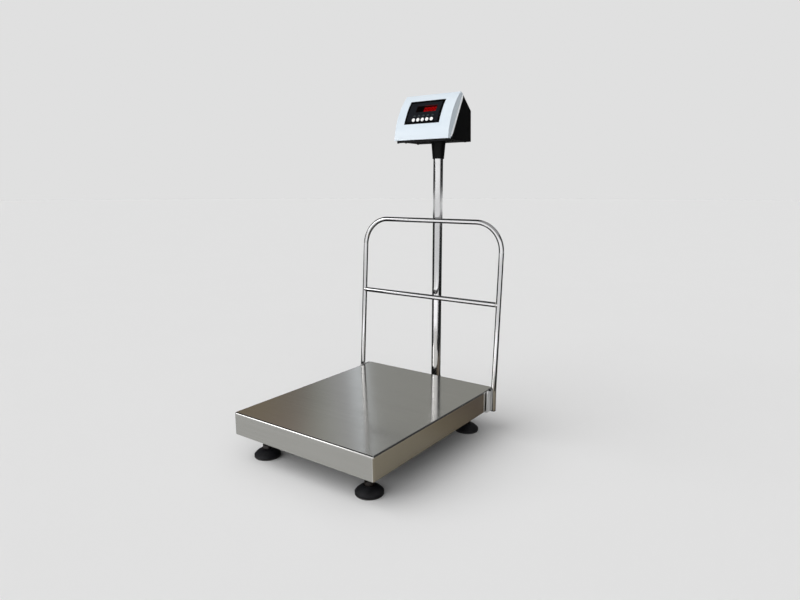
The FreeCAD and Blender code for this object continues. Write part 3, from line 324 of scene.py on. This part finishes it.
def printed_film():
    """The membrane: a matt dark field inside a gloss black border, printed on polycarbonate."""
    f = Finish("overlay_film", Specular_IOR_Level=0.09)
    x, _, z = f.split()
    in_x, in_z = inside_overlay(f, x, z, 5.8 * MM, 5.0 * MM)
    field = f.span(f.math("MINIMUM", in_x, in_z), 0.0, 0.6 * MM)
    weave = f.cells(f.place, 1700.0)
    cloud = f.noise(f.place, 38.0, 4.0, 0.6)
    inner = f.blend(f.span(cloud, 0.3, 0.7), tone((0.0075, 0.0085, 0.0105)), tone((0.013, 0.0145, 0.0175)))
    f.colour(f.blend(field, tone(0.0016), inner))
    value = f.span(field, 0.0, 1.0, 0.16, 0.24)
    f.roughness(f.plus(value, f.span(cloud, 0.3, 0.7, -0.03, 0.03)))
    f.bump(weave, 0.12, 0.05 * MM)
    return f


def simple(name, dark, light, rough, scale, depth, **sockets):
    """A mottled finish for small parts: two tones, uneven gloss and a fine surface."""
    f = Finish(name, **sockets)
    cloud = f.noise(f.place, scale, 4.0, 0.6)
    fine = f.noise(f.place, scale * 14, 3.0, 0.6)
    f.colour(f.blend(f.span(cloud, 0.3, 0.7), tone(dark), tone(light)))
    f.roughness(f.span(cloud, 0.3, 0.7, rough - 0.05, rough + 0.05))
    f.bump(fine, 0.2, depth)
    return f


def tinted_window():
    f = Finish("red_window", Transmission_Weight=1.0, IOR=1.49)
    smear = f.noise(f.place, 55.0, 4.0, 0.6)
    f.colour(f.blend(f.span(smear, 0.3, 0.7), tone((0.28, 0.006, 0.009)), tone((0.33, 0.008, 0.011))))
    f.roughness(f.span(smear, 0.3, 0.7, 0.04, 0.10))
    return f


def circuit_board():
    f = Finish("board_green", Specular_IOR_Level=0.5)
    tracks = {"Vector": f.stretched(f.place, (60, 60, 60)), "Scale": 3.0, "Mortar Size": 0.03}
    lines = f.add("ShaderNodeTexBrick", tracks)
    cloud = f.noise(f.place, 70.0, 4.0, 0.6)
    base = f.blend(f.span(cloud, 0.3, 0.7), tone((0.010, 0.085, 0.035)), tone((0.016, 0.120, 0.050)))
    f.colour(f.blend(f.times(lines, 0.25), base, tone((0.10, 0.26, 0.10))))
    f.roughness(f.span(cloud, 0.3, 0.7, 0.28, 0.4))
    f.bump(lines, 0.2, 0.05 * MM)
    return f


def glowing(name, colour, strength, spread):
    """Light-emitting plastic, slightly uneven: the lit segments, and the painted glow round them."""
    f = Finish(name, Roughness=0.4, Specular_IOR_Level=0.04, Emission_Strength=strength)
    grain = f.noise(f.place, spread, 2.0, 0.5)
    dim = tuple(c * 0.8 for c in colour)
    lit = f.blend(f.span(grain, 0.3, 0.7), tone(dim), tone(colour))
    f.colour(tone(tuple(c * 0.5 for c in colour)))
    f.feed(f.shader.inputs["Emission Color"], lit)
    return f


def small_parts(rows):
    """Finishes by name from rows of dark, light, roughness, grain, depth in mm and other sockets."""
    return {name: simple(name, dark, light, rough, scale, depth * MM, **sockets)
            for name, dark, light, rough, scale, depth, sockets in rows}


PAN_STEEL = (0.600, 0.590, 0.560)
BRACKET_STEEL = (0.74, 0.74, 0.735)
RED_LIGHT = (1.0, 0.012, 0.030)
RED_GLOW = (1.0, 0.008, 0.024)
MATT = {"Specular_IOR_Level": 0.04}
finishes = {
    "stainless_pan": brushed_steel("stainless_pan", PAN_STEEL, 0.115, pan_low, pan_high),
    # the bracket's bends carry a fainter painted highlight, at 0.2
    "stainless_bracket": brushed_steel(
        "stainless_bracket", BRACKET_STEEL, 0.46, *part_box("rail_bracket_right"), edge_highlight=0.2, metal=0.25),
    "polished_tube": polished_steel(),
    "frame_paint": painted_frame(),
    "zinc_steel": zinc_plate(),
    "cell_aluminium": milled_aluminium(),
    "foot_rubber": moulded_rubber(),
    "black_plastic": moulded_black(
        "black_plastic", (0.0020, 0.0020, 0.0022), (0.0042, 0.0042, 0.0046), 0.36, 1300.0, 0.10 * MM),
    "cover_white": moulded_white(),
    "overlay_film": printed_film(),
    "red_window": tinted_window(),
    "board_green": circuit_board(),
}
finishes.update(small_parts([
    ("black_steel", (0.010, 0.008, 0.007), (0.022, 0.016, 0.014), 0.30, 130.0, 0.08,
     {"Specular_IOR_Level": 0.6}),
    ("led_module", (0.003, 0.003, 0.003), (0.006, 0.005, 0.005), 0.4, 90.0, 0.04, MATT),
    ("key_white", (0.80, 0.80, 0.79), (0.90, 0.90, 0.89), 0.38, 160.0, 0.04, {}),
    ("cable_grey", (0.055, 0.055, 0.058), (0.085, 0.085, 0.088), 0.45, 80.0, 0.08, {}),
    ("battery_wrap", (0.020, 0.035, 0.070), (0.030, 0.050, 0.095), 0.3, 70.0, 0.05, {}),
    ("level_body", (0.60, 0.60, 0.58), (0.70, 0.70, 0.68), 0.35, 120.0, 0.05, {}),
    ("level_vial", (0.42, 0.62, 0.10), (0.50, 0.72, 0.14), 0.08, 60.0, 0.01, {"Transmission_Weight": 0.7}),
]))
# finishes of pieces that only Blender has
added = small_parts([
    ("unlit_segments", (0.006, 0.004, 0.004), (0.010, 0.006, 0.006), 0.4, 300.0, 0.02, MATT),
    ("legend_ink", (0.035, 0.050, 0.052), (0.055, 0.072, 0.075), 0.5, 400.0, 0.02, {}),
    # the lip's near-white is a painted highlight on the cover's moulding
    ("lip_white", (0.84, 0.86, 0.88), (0.90, 0.92, 0.93), 0.22, 60.0, 0.03, {}),
    ("weld_bead", (0.46, 0.44, 0.41), (0.62, 0.60, 0.57), 0.34, 240.0, 0.20, {"Metallic": 1.0}),
])
added["lit_segments"] = glowing("lit_segments", RED_LIGHT, 1.45, 900.0)
# painted glow: the LED light spreading round the lit digits
added["painted_led_glow"] = glowing("painted_led_glow", RED_GLOW, 0.60, 500.0)

for node in nodes.values():
    for holder in node.material_slots:
        holder.material = finishes[holder.material.name.split(".")[0]].material


# -------------------------------------------------------------------- pieces
def piece(name, mesh, finish, body, sharp=35):
    """One finished piece from a bmesh, smooth over soft angles and sharp over hard ones.

    It rides a body of the part and wears the material of the given finish.
    """
    data = bpy.data.meshes.new(name)
    bmesh.ops.recalc_face_normals(mesh, faces=mesh.faces)
    mesh.to_mesh(data)
    mesh.free()
    data.shade_smooth()
    data.set_sharp_from_angle(angle=math.radians(sharp))
    data.materials.append(finish.material)
    result = bpy.data.objects.new(name, data)
    scene.collection.objects.link(result)
    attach(result, body)
    return result


def slab(mesh, points, lift):
    """A prism on an outline of points, raised by the vector lift."""
    low = [mesh.verts.new(p) for p in points]
    high = [mesh.verts.new(p + lift) for p in points]
    mesh.faces.new(low)
    mesh.faces.new(high)
    for i in range(len(points)):
        j = (i + 1) % len(points)
        mesh.faces.new((low[i], low[j], high[j], high[i]))


def skin(mesh, rings, looped=False):
    """Joins rings of points with quads. The ends are capped, or joined to each other if looped."""
    rows = [[mesh.verts.new(p) for p in ring] for ring in rings]
    if looped:
        rows.append(rows[0])
    for a, b in zip(rows, rows[1:]):
        for i in range(len(a)):
            j = (i + 1) % len(a)
            mesh.faces.new((a[i], a[j], b[j], b[i]))
    if not looped:
        mesh.faces.new(rows[0])
        mesh.faces.new(rows[-1])


# the display: six seven-segment digits on the module's face
PANEL_ANGLE = math.radians(29.4)    # the panel leans back by this much
LED_HIGH = 15.6 * MM                # the module's face, along the lean
FACE_GAP = 0.02 * MM                # keeps the added faces off the module's own
face_out = Vector((0, -math.cos(PANEL_ANGLE), math.sin(PANEL_ANGLE)))
face_up = Vector((0, math.sin(PANEL_ANGLE), math.cos(PANEL_ANGLE)))
led_low, led_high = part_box("led_display")
led_depth = ((led_high.y - led_low.y) - LED_HIGH * math.sin(PANEL_ANGLE)) / math.cos(PANEL_ANGLE)
led_face = (led_low + led_high) / 2 + face_out * (led_depth / 2 + FACE_GAP)
READING = "  0000"
POINT_AFTER = 2                     # the lit decimal point stands after this place
LIT_BARS = {"0": "abcdef", " ": ""}
DIGIT_PITCH = 10.0 * MM
DIGIT_HIGH = 11.4 * MM
DIGIT_WIDE = 6.0 * MM
STROKE = 1.4 * MM
POINT_RADIUS = 0.7 * MM
POINT_ASIDE = 1.2 * MM              # from a digit's edge to the middle of its point
SLANT = math.tan(math.radians(8))
BAR_RAISE = face_out * 0.25 * MM
GLOW_RAISE = face_out * 0.10 * MM
GLOW_HALF = 6.4 * MM                # half the height of the glow behind the digits


def face_point(x, up):
    """A point on the module's face, slanted as the digits are."""
    return led_face + Vector((x + up * SLANT, 0, 0)) + face_up * up


def segment_outline(letter):
    """The six corners of one bar of a digit, about the digit's middle."""
    half_w = DIGIT_WIDE / 2 - STROKE / 2
    half_h = DIGIT_HIGH / 2 - STROKE / 2
    gap = 0.18 * MM
    tip = STROKE / 2
    if letter in "adg":
        y = {"a": half_h, "g": 0.0, "d": -half_h}[letter]
        ends = (-half_w + gap, half_w - gap)
        return [(ends[0], y), (ends[0] + tip, y + tip), (ends[1] - tip, y + tip),
                (ends[1], y), (ends[1] - tip, y - tip), (ends[0] + tip, y - tip)]
    x = half_w if letter in "bc" else -half_w
    ends = (gap, half_h - gap) if letter in "bf" else (-half_h + gap, -gap)
    return [(x, ends[0]), (x + tip, ends[0] + tip), (x + tip, ends[1] - tip),
            (x, ends[1]), (x - tip, ends[1] - tip), (x - tip, ends[0] + tip)]


lit, unlit = bmesh.new(), bmesh.new()
for place, digit in enumerate(READING):
    centre = (place - 2.5) * DIGIT_PITCH
    for letter in "abcdefg":
        target = lit if letter in LIT_BARS[digit] else unlit
        slab(target, [face_point(centre + x, y) for x, y in segment_outline(letter)], BAR_RAISE)
    dot_x = centre + DIGIT_WIDE / 2 + POINT_ASIDE
    dot_y = POINT_RADIUS - DIGIT_HIGH / 2
    turns = [a * math.pi / 6 for a in range(12)]
    ring = [face_point(dot_x + POINT_RADIUS * math.cos(a), dot_y + POINT_RADIUS * math.sin(a)) for a in turns]
    slab(lit if place == POINT_AFTER else unlit, ring, BAR_RAISE)
# a painted glow: a red emitting patch round the lit digits stands in for their light spreading behind the
# window
glow_patch = bmesh.new()
glow_left = -0.5 * DIGIT_PITCH - DIGIT_WIDE / 2 - 1.2 * MM
glow_right = 2.5 * DIGIT_PITCH + DIGIT_WIDE / 2 + 1.4 * MM
glow_corners = [face_point(glow_left, -GLOW_HALF), face_point(glow_right, -GLOW_HALF),
                face_point(glow_right, GLOW_HALF), face_point(glow_left, GLOW_HALF)]
slab(glow_patch, glow_corners, GLOW_RAISE)
piece("display_painted_glow", glow_patch, added["painted_led_glow"], "head")
piece("display_lit_segments", lit, added["lit_segments"], "head")
piece("display_unlit_segments", unlit, added["unlit_segments"], "head")

# the printed marks beside the keys, on the curved film
COVER_AXIS = Vector((0, pan_low.y + 636 * MM, 711.9 * MM))     # the cover bends about this line
FILM_OUT = 182.5 * MM               # from that line to the film's outer face
INK_THICK = 0.06 * MM
INK_SUNK = 0.10 * MM                # how far a mark reaches into the film
MARKS = ((3.6 * MM, 25.1, 25.4), (2.4 * MM, 25.8, 26.1))       # half width, low and high angle


def on_film(x, angle, out):
    turn = math.radians(angle)
    away = Vector((0, -math.cos(turn), math.sin(turn)))
    return Vector((x, 0, 0)) + COVER_AXIS + away * (FILM_OUT + out)


def film_patch(mesh, x0, x1, a0, a1):
    """A thin printed bar on the film, from x0 to x1 and from angle a0 to a1."""
    corners = ((x0, -INK_SUNK), (x1, -INK_SUNK), (x1, INK_THICK), (x0, INK_THICK))
    skin(mesh, [[on_film(x, angle, out) for x, out in corners] for angle in (a0, a1)])


marks = bmesh.new()
for n in range(1, 6):
    low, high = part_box(f"key_{n}")
    mid = (low.x + high.x) / 2
    for half, a0, a1 in MARKS:
        film_patch(marks, mid - half, mid + half, a0, a1)
piece("overlay_marks", marks, added["legend_ink"], "head")

# the cover's lip, along the back edge of each end, far whiter than the cover: a painted highlight
LIP_FOOT = Vector((0, pan_middle.y + 217.7 * MM, 734.5 * MM))
LIP_TOP = Vector((0, pan_middle.y + 273.3 * MM, 842 * MM))
LIP_STEPS = 12
LIP_END_SHARE = 0.012               # the lip stops short of both ends by this share
LIP_END_SIZE = 0.6                  # and tapers to this size there
LIP_OUTLINE = [(-0.5, -1.7), (0.7, -1.7), (3.1, -0.1), (3.3, 0.6), (3.0, 1.2), (2.3, 1.5), (-0.5, 1.5)]  # mm
across = (LIP_TOP - LIP_FOOT).normalized().cross(Vector((1, 0, 0)))
cover_low, cover_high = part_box("head_front_cover")
for side, x, name in ((-1, cover_low.x, "left"), (1, cover_high.x, "right")):
    rings = []
    for step in range(LIP_STEPS + 1):
        size = (1.0 if 0 < step < LIP_STEPS else LIP_END_SIZE) * MM
        share = LIP_END_SHARE + (1 - 2 * LIP_END_SHARE) * step / LIP_STEPS
        middle = LIP_FOOT.lerp(LIP_TOP, share)
        rings.append([middle + Vector((x + side * out * size, 0, 0)) + across * (back * size)
                      for out, back in LIP_OUTLINE])
    lip = bmesh.new()
    skin(lip, rings)
    piece(f"cover_lip_{name}", lip, added["lip_white"], "head", sharp=50)

# the levelling feet's studs, with their hexagons and threads
STUD_AROUND = 30
PITCH = 1.75 * MM
NECK_RADIUS = 6.9 * MM
HEX_HALF_FLAT = 9.5 * MM
HEX_CHAMFER = 10.3 * MM             # the corners are turned down to this radius
HEX_FACE = 9.2 * MM
HEX_HEIGHTS = [h * MM for h in (19.6, 20.1, 20.7, 27.5, 28.1, 28.6)]
THREAD_START = 28.7 * MM
THREAD_ROOT = 5.05 * MM
THREAD_DEPTH = 0.93 * MM
RELIEF_RADIUS = 5.2 * MM            # between the hexagon and the thread
END_RADII = (5.6 * MM, 4.9 * MM)    # the chamfer at the stud's top
END_CHAMFER = 0.3 * MM


def stud_mesh(centre, low, high):
    """A stud that stands from low to high: neck, chamfered hexagon and thread."""
    mesh = bmesh.new()
    turns = [2 * math.pi * i / STUD_AROUND for i in range(STUD_AROUND)]

    def ring(radius_of, z):
        return [Vector((centre.x + radius_of(a) * math.cos(a), centre.y + radius_of(a) * math.sin(a), z))
                for a in turns]

    def hexagon(a):
        off = (a - math.radians(30)) % math.radians(60) - math.radians(30)
        return HEX_HALF_FLAT / math.cos(off)

    def chamfered(a):
        return min(hexagon(a), HEX_CHAMFER)

    def even(radius):
        return lambda a: radius

    def ridge(z):
        def radius(a):
            share = (z / PITCH - a / (2 * math.pi)) % 1.0
            return THREAD_ROOT + THREAD_DEPTH * (1 - abs(2 * share - 1)) ** 0.9
        return radius

    rings = [ring(even(NECK_RADIUS), low), ring(even(NECK_RADIUS), HEX_HEIGHTS[0])]
    hex_shapes = (even(HEX_FACE), chamfered, hexagon, hexagon, chamfered, even(HEX_FACE))
    rings += [ring(shape, z) for shape, z in zip(hex_shapes, HEX_HEIGHTS)]
    rings.append(ring(even(RELIEF_RADIUS), HEX_HEIGHTS[-1]))
    z = THREAD_START
    while z < high - END_CHAMFER - 0.1 * MM:
        rings.append(ring(ridge(z), z))
        z += PITCH / 6
    rings += [ring(even(END_RADII[0]), high - END_CHAMFER), ring(even(END_RADII[1]), high)]
    skin(mesh, rings)
    return mesh


for end in ("front", "rear"):
    for side in ("left", "right"):
        name = f"foot_stud_{end}_{side}"
        low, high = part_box(name)
        mesh = stud_mesh((low + high) / 2, low.z, high.z)
        stud = piece(f"threaded_{name}", mesh, finishes["black_steel"], name, sharp=32)
        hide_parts(name)


# the weld beads between the crossbar and the rail's legs
WELD_RIPPLES = 22
WELD_THICK = 1.1 * MM
WELD_SUNK = 0.2 * MM
WELD_INSET = 0.93                   # how far in from the crossbar's end, as a share of a leg's reach


def bead_ring(mesh, centre, radius):
    """A rippled weld bead round a tube that runs along X."""
    axis = Vector((1, 0, 0))
    first = axis.orthogonal().normalized()
    second = axis.cross(first)
    rings = []
    for i in range(WELD_RIPPLES * 3):
        a = 2 * math.pi * i / (WELD_RIPPLES * 3)
        out = first * math.cos(a) + second * math.sin(a)
        fat = WELD_THICK * (1.0 + 0.16 * math.sin(a * WELD_RIPPLES))
        rings.append([centre + out * (radius + fat * math.cos(b)) + axis * fat * math.sin(b)
                      for b in (2 * math.pi * k / 8 for k in range(8))])
    skin(mesh, rings, looped=True)


cross_low, cross_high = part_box("rail_crossbar")
cross_middle = (cross_low + cross_high) / 2
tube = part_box("guard_rail")[1].x - cross_high.x        # how far a leg reaches past the crossbar's end
beads = bmesh.new()
for side in (-1, 1):
    weld_x = side * (cross_high.x - tube * WELD_INSET)
    bead_ring(beads, Vector((weld_x, cross_middle.y, cross_middle.z)), tube - WELD_SUNK)
piece("crossbar_welds", beads, added["weld_bead"], "base", sharp=60)


# ------------------------------------------------------------ floor and light
RAYS = ("camera", "diffuse", "glossy", "transmission", "shadow", "volume_scatter")


def staged(name, mesh_data, material, seen_by=RAYS):
    """Adds a piece of the studio that only the named kinds of ray see."""
    mesh_data.materials.append(material)
    result = bpy.data.objects.new(name, mesh_data)
    scene.collection.objects.link(result)
    for kind in RAYS:
        setattr(result, "visible_" + kind, kind in seen_by)


def studio_sheet(name, points, material, seen_by=("glossy",)):
    """A flat sheet of the studio, by default one that only shows in reflections."""
    data = bpy.data.meshes.new(name)
    data.from_pydata(points, [], [tuple(range(len(points)))])
    staged(name, data, material, seen_by)


def light_finish(name, level):
    """An evenly lit surface, for the backdrop and the light panels."""
    panel = bpy.data.materials.new(name)
    panel.use_nodes = True
    glow = panel.node_tree.nodes.new("ShaderNodeEmission")
    glow.inputs["Color"].default_value = tone(level)
    panel.node_tree.links.new(glow.outputs[0], panel.node_tree.nodes["Material Output"].inputs[0])
    return panel


def board_finish(name, shade):
    """A matt board of one colour."""
    board = Finish(name, Roughness=1.0, Specular_IOR_Level=0.0)
    board.colour(tone(shade))
    return board.material


def box_points(x0, x1, y0, y1, z):
    return [(x0, y0, z), (x1, y0, z), (x1, y1, z), (x0, y1, z)]


def from_heading(degrees, far, start=(0, 0)):
    """The x and y of a point at an angle to the right of the camera's heading, far metres from start."""
    turn = math.radians(degrees)
    way = AHEAD * math.cos(turn) + RIGHT * math.sin(turn)
    return (start[0] + way.x * far, start[1] + way.y * far)


def at_height(points, z):
    return [(x, y, z) for x, y in points]


FLOOR_HALF = 60.0
BACKDROP_RADIUS = 40.0
floor_finish = Finish("studio_floor", Roughness=1.0, Specular_IOR_Level=0.0)
floor_cloud = floor_finish.noise(floor_finish.place, 3.0, 2.0)
floor_finish.colour(floor_finish.blend(floor_cloud, tone(0.795), tone(0.805)))
floor_points = box_points(-FLOOR_HALF, FLOOR_HALF, -FLOOR_HALF, FLOOR_HALF, 0)
studio_sheet("studio_floor", floor_points, floor_finish.material, RAYS)

ball = bmesh.new()
bmesh.ops.create_icosphere(ball, subdivisions=4, radius=BACKDROP_RADIUS)
ball_data = bpy.data.meshes.new("studio_backdrop")
ball.to_mesh(ball_data)
ball.free()
staged("studio_backdrop", ball_data, light_finish("studio_backdrop", FLOOR_TONE), ("camera",))

# The sheets below are what the pan, its skirt and the tubes mirror, each a little above the one under it.
# The dark board lies over the floor ahead of the camera, out to the horizon. Its near corners keep the
# floor before the scale pale, which the front skirt mirrors.
BOARD_Z, BESIDE_Z, BEFORE_Z, LIT_FLOOR_Z, ROOF_Z = 0.0012, 0.0018, 0.0024, 0.0030, 3.0
BOARD_FAR = 16
CORNER_FAR = 14
board_right = (0.62, -0.22)
board_left = (-0.62, -0.42)
board = [(pan_high.x + 0.005, pan_low.y - 0.01), board_right, from_heading(125, CORNER_FAR, board_right)]
board += [from_heading(angle, BOARD_FAR) for angle in (70, 35, 0, -35, -70)]
board += [from_heading(-107, CORNER_FAR, board_left), board_left, (-0.22, pan_low.y + 0.02)]
studio_sheet("studio_flag", at_height(board, BOARD_Z), board_finish("studio_flag", 0.02))

# beside the pan's right side: warm and pale in front, darker towards the back
beside_finish = Finish("studio_flag_beside", Roughness=1.0, Specular_IOR_Level=0.0)
towards_back = beside_finish.span(beside_finish.split()[1], -0.2, 0.8)
beside_finish.colour(beside_finish.ramp(towards_back, [
    (0.0, (0.33, 0.30, 0.24)), (0.24, (0.29, 0.26, 0.205)), (0.35, (0.225, 0.192, 0.142)),
    (0.52, (0.160, 0.130, 0.105)), (0.65, (0.145, 0.128, 0.110)), (0.73, (0.175, 0.16, 0.143))]))
beside = box_points(pan_high.x + 0.06, pan_high.x + 0.33, -0.6, 0.8, BESIDE_Z)
studio_sheet("studio_flag_beside", beside, beside_finish.material)

# before the pan's front side
before = box_points(-0.56, 0.17, pan_low.y - 0.26, pan_low.y - 0.04, BEFORE_Z)
studio_sheet("studio_flag_before", before, board_finish("studio_flag_before", (0.56, 0.565, 0.562)))

studio_sheet("studio_roof", box_points(-0.5, 2.6, -2.2, 2.4, ROOF_Z), light_finish("studio_roof", 0.34))
lit_floor = [(-0.72, pan_low.y - 0.28), (-1.6, -1.75), (1.9, -1.75), (0.9, pan_low.y - 0.28)]
studio_sheet("studio_lit_floor", at_height(lit_floor, LIT_FLOOR_Z), light_finish("studio_lit_floor", 1.25))

# The world is a light tent. It lights the scene and shows in reflections, and the backdrop hides it from
# the camera. It has four rings of tones by height. Each ring runs once round by angle from the camera's
# heading, negative to the left: bright behind the camera, dark at both sides, and ahead the warm, grey and
# white bands that the pan's top mirrors.
TOP_TILT = 0.7                      # degrees the bands lean to the left over their height
TILT_FROM, TILT_OVER = 0.286, 0.1417        # heights as the sine of the elevation
world = bpy.data.worlds.new("studio")
scene.world = world
world.use_nodes = True
sky = Net(world.node_tree)
view_way = world.node_tree.nodes.new("ShaderNodeTexCoord").outputs["Generated"]
ahead = sky.dot(view_way, AHEAD[:])
aside = sky.dot(view_way, RIGHT[:])
height = sky.dot(view_way, (0, 0, 1))
around = sky.plus(sky.math("DIVIDE", sky.math("ARCTAN2", aside, ahead), 2 * math.pi), 0.5)
tilt = sky.times(sky.minus(height, TILT_FROM), TOP_TILT / 360 / TILT_OVER)
slanted = sky.minus(around, tilt)


def ring_of(value, stops):
    """A ramp once round the sky, from stops of degrees from the heading and tones."""
    return sky.ramp(value, [(degrees / 360 + 0.5, shade) for degrees, shade in stops])


def between(low, high):
    """Goes from 0 to 1 between two elevations in degrees."""
    return sky.span(height, math.sin(math.radians(low)), math.sin(math.radians(high)))


left_side = [(-180, 1.0), (-104, 1.05), (-94, 0.03), (-30, 0.10)]
right_side = [
    (-3.95, (0.95, 1.0, 1.06)), (-3.68, (1.20, 1.26, 1.33)), (-3.58, (0.345, 0.35, 0.34)),
    (9, (0.345, 0.345, 0.327)), (30, 0.12), (126, 0.04), (140, 0.8), (180, 1.0)]
low_ring = ring_of(around, [
    (-180, 1.0), (-111, 1.05), (-106, 0.03), (-60, 0.02), (60, 0.02), (126, 0.02), (140, 0.9), (180, 1.0)])
middle_ring = ring_of(slanted, left_side + [
    (-15, (0.222, 0.188, 0.132)), (-10.2, (0.208, 0.189, 0.170)), (-8.3, (0.297, 0.303, 0.287)),
    (-6.1, (0.41, 0.415, 0.425)), (-5.3, (0.42, 0.43, 0.45)), (-4.8, (0.45, 0.465, 0.49)),
    (-4.35, (0.58, 0.615, 0.65))] + right_side)
upper_ring = ring_of(slanted, left_side + [
    (-15, (0.25, 0.205, 0.165)), (-11.5, (0.27, 0.23, 0.20)), (-8.6, (0.38, 0.385, 0.36)),
    (-7.2, (0.44, 0.45, 0.44)), (-5.6, (0.40, 0.405, 0.415)), (-4.9, (0.44, 0.455, 0.47)),
    (-4.35, (0.56, 0.595, 0.63))] + right_side)
high_ring = ring_of(around, [
    (-180, 0.35), (-112, 0.30), (-98, 0.04), (126, 0.04), (140, 0.30), (180, 0.35)])
banded = sky.blend(between(19.5, 23.5), middle_ring, upper_ring)
lower = sky.blend(between(9, 14), low_ring, banded)
whole = sky.blend(between(28, 34), lower, high_ring)

# a bright strip light on the left, for the long highlights of the upright tubes
strip_across = ring_of(around, [(-107, 0.0), (-105, 1.0), (-95, 1.0), (-93, 0.0)])
strip_upward = sky.times(between(2, 5), between(28, 25))
whole = sky.blend(sky.times(strip_across, strip_upward), whole, tone(4.2))
background = world.node_tree.nodes["Background"]
sky.feed(background.inputs["Color"], whole)
background.inputs["Strength"].default_value = 1.0

# soft suns that light the matt surfaces and stay out of reflections and of the red window
SUNS = (("key", 1.60, 60, (-0.62, -0.62, 0.9)), ("fill", 1.085, 120, (-0.1, -0.15, 1.0)))
for name, energy, spread, towards in SUNS:
    sun_data = bpy.data.lights.new(name, "SUN")
    sun_data.energy = energy
    sun_data.angle = math.radians(spread)
    sun = bpy.data.objects.new(name, sun_data)
    sun.rotation_euler = Vector(towards).to_track_quat("Z", "Y").to_euler()
    sun.visible_glossy = False
    sun.visible_transmission = False
    scene.collection.objects.link(sun)
